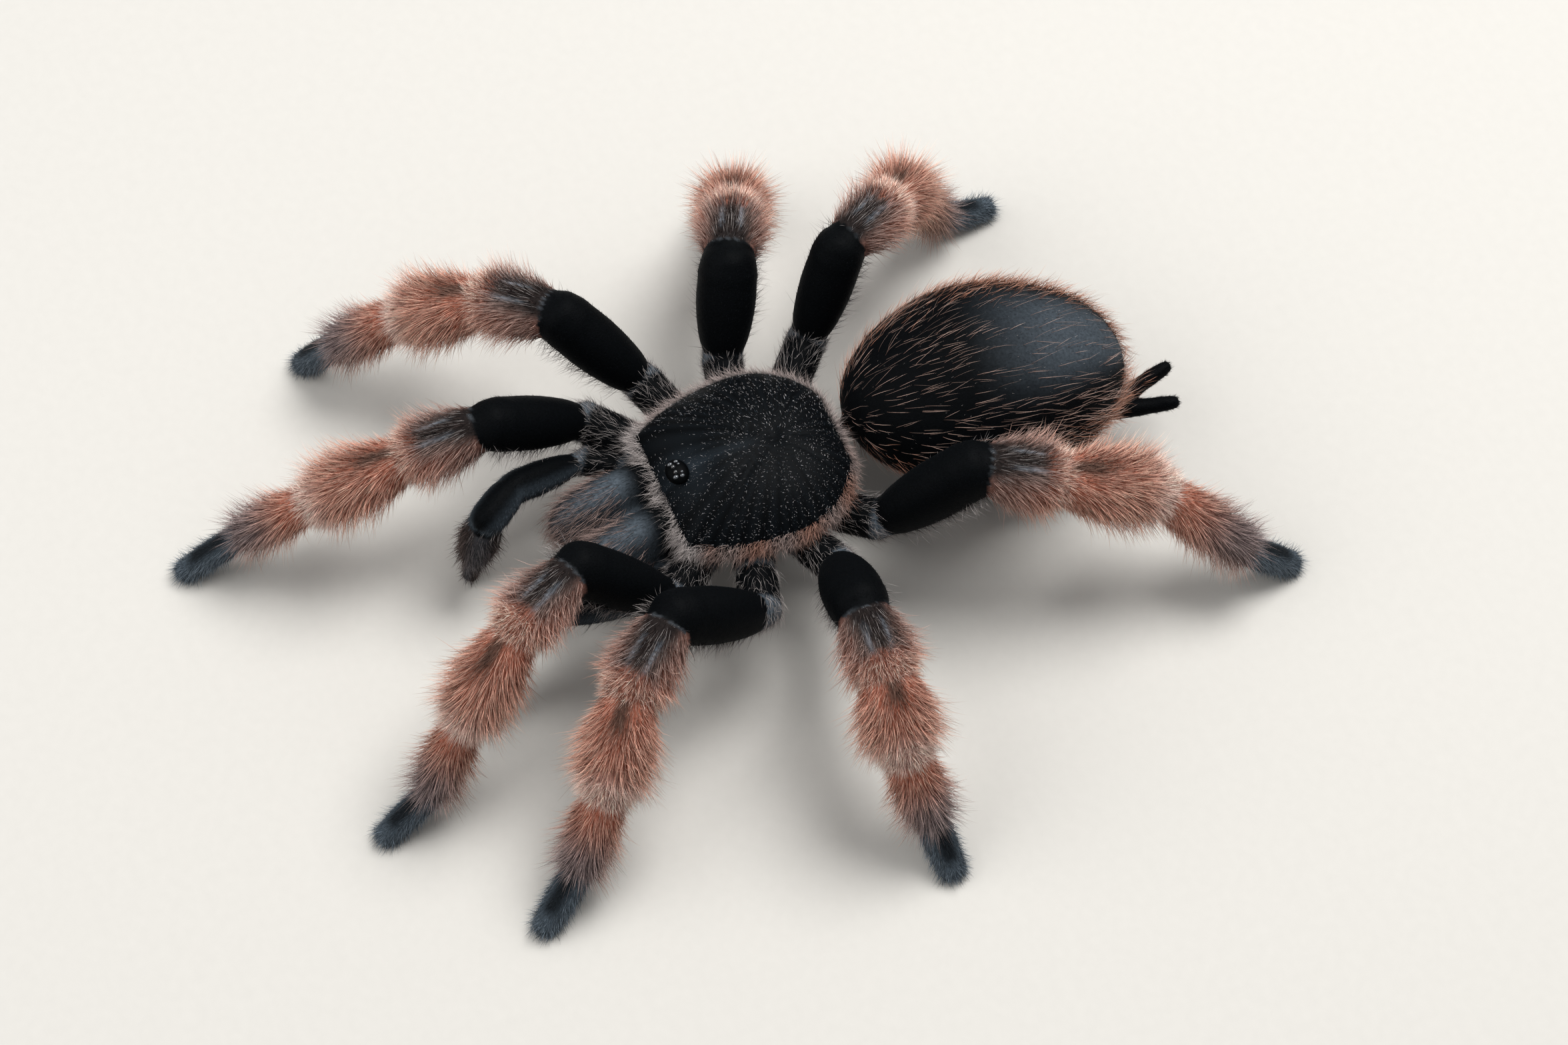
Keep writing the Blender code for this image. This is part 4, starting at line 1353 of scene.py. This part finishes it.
def coat_of(stretch):
    """The name of the coat that covers a stretch: one for each leg, and one for like parts."""
    if stretch.segment == "coxa" or stretch.limb == "sternum":
        return "trunk"
    if stretch.limb.startswith("palp"):
        return "palps"
    return {"chelicera": "jaws", "spinneret": "abdomen"}.get(stretch.limb, stretch.limb)


def tones_of(layer, place, stretches):
    """Root and tip colours of a layer: its own tone, or else the marking of each place."""
    colours, _, _ = settings()
    if layer.tone is None:
        return body_colours(place, stretches)
    return [even(getattr(colours, name), len(place.share)) for name in TONES[layer.tone]]


def clothe(surface, stretches, place_of_triangle, chosen, rng):
    """Batches of hair over the chosen stretches of the skin."""
    _, sizes, _ = settings()
    batches = []
    for order, index in enumerate(chosen):
        stretch = stretches[index]
        mine = place_of_triangle.index == index
        part = Surface(surface.points, surface.normals, surface.triangles[mine])
        spot = part_of(place_of_triangle, mine)
        for layer in layers_of(stretch):
            beneath = 1.0 - 0.5 * ramp(abs(spot.turn), 2.2, 2.7)
            density = layer.per_mm2 * layer.where(spot) * beneath * sizes.fullness
            roots, normals = scatter(part, density, rng)
            if not len(roots):
                continue
            place = locate(roots, stretches)
            tones = tones_of(layer, place, stretches)
            uvs = np.column_stack((
                0.01 + 0.98 * (order + place.share) / len(chosen),
                0.01 + 0.98 * (place.turn / (2.0 * math.pi) + 0.5),
            ))
            parting = 0.0 if stretch.limb == "abdomen" else 0.35
            runs = place.run - parting * unit(UP - place.run * place.run[:, 2:3])
            trim = layer.trim(place) if layer.trim else 1.0
            if layer.past is not None:
                span = np.linalg.norm(stretch.end - stretch.start)
                room = (1.0 - place.share) * span + layer.past * MM
                forward = layer.length * MM * math.cos(math.radians(layer.lift))
                trim = np.minimum(trim, room / forward)
            batches.append(
                make_hairs(roots, normals, runs, uvs, tones, layer, rng, trim, place.share)
            )
    return batches


class TARANTULA_OT_coat(bpy.types.Operator):
    """Grow the coat of legs, palps, jaws, trunk and abdomen"""

    bl_idname = "tarantula.coat"
    bl_label = "Coat"

    def execute(self, context):
        _, sizes, _ = settings()
        surface = surface_of(bpy.data.objects["skin"])
        stretches = all_stretches()
        middles = surface.points[surface.triangles].mean(1).astype(float)
        place = locate(middles, stretches)
        material = hair_material()
        coats = {}
        for index, stretch in enumerate(stretches):
            coats.setdefault(coat_of(stretch), []).append(index)
        for order, (name, chosen) in enumerate(coats.items()):
            rng = np.random.default_rng(sizes.seed + order)
            batches = clothe(surface, stretches, place, chosen, rng)
            coat_piece(f"coat_{name}", batches, material)
        return {"FINISHED"}


PLATE_SEED = 50  # added to the seed, so that the plate's hairs fall unlike the others


class TARANTULA_OT_plate_down(bpy.types.Operator):
    """Grow the short down and the fringe of the head plate"""

    bl_idname = "tarantula.plate_down"
    bl_label = "Plate down"

    def execute(self, context):
        _, sizes, _ = settings()
        rng = np.random.default_rng(sizes.seed + PLATE_SEED)
        surface = surface_of(bpy.data.objects["carapace_plate"])
        middles = surface.points[surface.triangles].mean(1).astype(float)
        spread = plate_spread(middles)
        batches = self.down(surface, middles, spread, rng)
        batches.append(self.fringe(surface, middles, spread, rng))
        coat_piece("coat_carapace", batches, hair_material())
        return {"FINISHED"}

    def down(self, surface, middles, spread, rng):
        """Dim down and pale specks, both in rays from the fovea; the specks' pale colour is partly
        hair and partly a painted glint.
        """
        colours, _, _ = settings()
        fovea = plate_spot(FOVEA_SHARE) * (1.0, 1.0, 0.0)
        facing_up = surface.normals[surface.triangles].mean(1)[:, 2] > 0.05
        bearing = np.arctan2(middles[:, 0] - fovea[0], fovea[1] - middles[:, 1])
        rays = 0.35 + 0.65 * (0.5 + 0.5 * np.sin(bearing * 38.0 + 2.0 * np.sin(bearing * 7.0)))
        bare = window(bearing, -0.62, -0.2, 0.12) * ramp(spread, 0.3, 0.5)
        batches = []
        for per_mm2, lift, tones in (
            (12.0, 14, (colours.shell_sheen, colours.slate_root)),
            # Pale specks: short hairs whose pale colour partly paints the glints of the plate's
            # setae
            (25.0, 10, (colours.bald_and_sheen, colours.ash)),
        ):
            layer = Layer(per_mm2, 0.4, 0.4, 0.07, lift, 0.1, 1, None, wild=0.4)
            density = per_mm2 * facing_up * (rays * (1.0 - 0.9 * bare)) * (spread < 0.97)
            roots, normals = scatter(surface, density, rng)
            tones = [even(tone, len(roots)) for tone in tones]
            runs = unit(roots - fovea)
            batches.append(make_hairs(roots, normals, runs, self.uvs(roots), tones, layer, rng))
        return batches

    def fringe(self, surface, middles, spread, rng):
        """Hairs that stand out round the margin, pale in front and orange on the left."""
        colours, _, _ = settings()
        low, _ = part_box("carapace")
        centre = plate_spot(CENTRE_SHARE)
        rim = (spread > 0.94) & (middles[:, 2] > low.z + 0.1 * MM)
        layer = Layer(34.0, 1.15, 0.5, 0.055, 4, 0.3, 2, None, wild=0.6)
        roots, _ = scatter(surface, layer.per_mm2 * rim, rng)
        outward = unit((roots - centre) * (1.0, 1.0, 0.0))
        front = ramp(low.y + 3.5 * MM - roots[:, 1], 0.0, 2.5 * MM)
        runs = mix(outward, unit(outward + (0.0, -0.8, 0.0)), 1.0 - front)
        left = ramp(roots[:, 0] - centre[0], 1.0 * MM, 7.0 * MM) * (1.0 - front)
        left = left * (0.6 + 0.4 * np.sin(np.arctan2(outward[:, 0], outward[:, 1]) * 11.0))
        grey_root = mix(colours.grey_root, colours.ash, 0.18)
        pale_root = mix(colours.grey_root, colours.ash, 0.5)
        root = mix(mix(grey_root, colours.orange_root, left), pale_root, front)
        pale_tip = mix(colours.grey_tip, colours.ash, 0.5)
        tip = mix(mix(pale_tip, colours.orange_tip, 0.7 * left), colours.ash, 0.8 * front)
        normals, longer = even(UP, len(roots)), 1.0 + 0.3 * front
        uvs = self.uvs(roots)
        return make_hairs(roots, normals, runs, uvs, (root, tip), layer, rng, longer)

    def uvs(self, roots):
        """Where each hair lies in the map of colours, laid out as the plate is from above."""
        low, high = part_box("carapace")
        return np.column_stack((
            0.05 + 0.9 * (roots[:, 0] - low.x) / (high.x - low.x),
            0.05 + 0.9 * (roots[:, 1] - low.y) / (high.y - low.y),
        ))


# ---------------------------------------------------------------- the stage

SENSOR_WIDTH = 36.0  # millimetres
CENTRE_HEIGHT = 1.7 * MM  # of the point under the plate that the stage is set round
FLOOR_SIZE = 6.0
SKY, SKY_STRENGTH = (0.95, 0.97, 1.0, 1.0), 0.46
# Each soft lamp: metres to the camera's right, along its upward and straight up, width, watts
LAMPS = {
    "key": (0.25, 0.3, 0.55, 0.5, 8.0),
    "fill": (-0.5, -0.1, 0.5, 0.7, 2.9),
}


class TARANTULA_OT_stage(bpy.types.Operator):
    """Set the camera, the pale floor and the soft light"""

    bl_idname = "tarantula.stage"
    bl_label = "Stage"

    def execute(self, context):
        _, _, stage = settings()
        target = Vector(plate_spot(CENTRE_SHARE) + CENTRE_HEIGHT * UP)
        away = Vector((
            math.sin(stage.azimuth) * math.cos(stage.elevation),
            -math.cos(stage.azimuth) * math.cos(stage.elevation),
            math.sin(stage.elevation),
        ))
        right = Vector((math.cos(stage.azimuth), math.sin(stage.azimuth), 0.0))
        upward = away.cross(right)
        aim = target + right * stage.aim_right - upward * stage.aim_down
        camera = bpy.data.cameras.new("camera")
        camera.lens = stage.lens
        camera.sensor_width = SENSOR_WIDTH
        camera.clip_start = 0.01
        eye = bpy.data.objects.new("camera", camera)
        eye.location = aim + away * stage.distance
        eye.rotation_euler = (-away).to_track_quat("-Z", "Y").to_euler()
        context.scene.collection.objects.link(eye)
        context.scene.camera = eye
        self.floor(stage)
        for name, (beside, along, above, width, watts) in LAMPS.items():
            place = target + right * beside + upward * along + Vector((0.0, 0.0, above))
            self.lamp(name, place, target, width, watts)
        world = bpy.data.worlds.new("studio")
        world.use_nodes = True
        background = world.node_tree.nodes["Background"]
        background.inputs["Color"].default_value = SKY
        background.inputs["Strength"].default_value = SKY_STRENGTH
        context.scene.world = world
        context.scene.view_settings.view_transform = "Standard"
        return {"FINISHED"}

    def floor(self, stage):
        """A floor of matt board, whose faint mottling of 1.5 mm keeps it from looking blank."""
        select_only()
        bpy.ops.mesh.primitive_plane_add(size=FLOOR_SIZE, location=(0.0, 0.0, 0.0))
        floor = bpy.context.object
        floor.name = "floor"
        material, tree, shader = new_material(
            "matt board", {"Roughness": 0.85, "Specular IOR Level": 0.2}
        )
        spots = {"To Min": 0.97, "To Max": 1.03}
        mottle(tree, shader, 1.5 * MM, spots, values={0: tuple(stage.floor)})
        floor.data.materials.append(material)

    def lamp(self, name, place, target, width, watts):
        """A round soft lamp that faces the target."""
        light = bpy.data.lights.new(name, "AREA")
        light.shape = "DISK"
        light.size = width
        light.energy = watts
        lamp = bpy.data.objects.new(name, light)
        lamp.location = place
        lamp.rotation_euler = (target - place).to_track_quat("-Z", "Y").to_euler()
        bpy.context.scene.collection.objects.link(lamp)


STEPS = (
    TARANTULA_OT_stage,
    TARANTULA_OT_skin,
    TARANTULA_OT_carapace,
    TARANTULA_OT_eyes,
    TARANTULA_OT_horn,
    TARANTULA_OT_coat,
    TARANTULA_OT_plate_down,
)


class TARANTULA_PT_panel(bpy.types.Panel):
    """Lists the steps that build the tarantula, with its settings"""

    bl_idname = "TARANTULA_PT_panel"
    bl_label = "Tarantula"
    bl_space_type = "VIEW_3D"
    bl_region_type = "UI"
    bl_category = "Tarantula"

    def draw(self, context):
        for step in STEPS:
            self.layout.operator(step.bl_idname)
        for name in ("tarantula_sizes", "tarantula_colours", "tarantula_stage"):
            group = getattr(context.scene, name)
            box = self.layout.box()
            for key in group.__annotations__:
                box.prop(group, key)


CLASSES = (TarantulaColours, TarantulaSizes, TarantulaStage, *STEPS, TARANTULA_PT_panel)


def register():
    for kind in CLASSES:
        bpy.utils.register_class(kind)
    bpy.types.Scene.tarantula_colours = PointerProperty(type=TarantulaColours)
    bpy.types.Scene.tarantula_sizes = PointerProperty(type=TarantulaSizes)
    bpy.types.Scene.tarantula_stage = PointerProperty(type=TarantulaStage)


def unregister():
    for name in ("tarantula_stage", "tarantula_sizes", "tarantula_colours"):
        delattr(bpy.types.Scene, name)
    for kind in reversed(CLASSES):
        bpy.utils.unregister_class(kind)


def main():
    register()
    for step in STEPS:
        category, name = step.bl_idname.split(".")
        getattr(getattr(bpy.ops, category), name)()


if __name__ == "__main__":
    main()
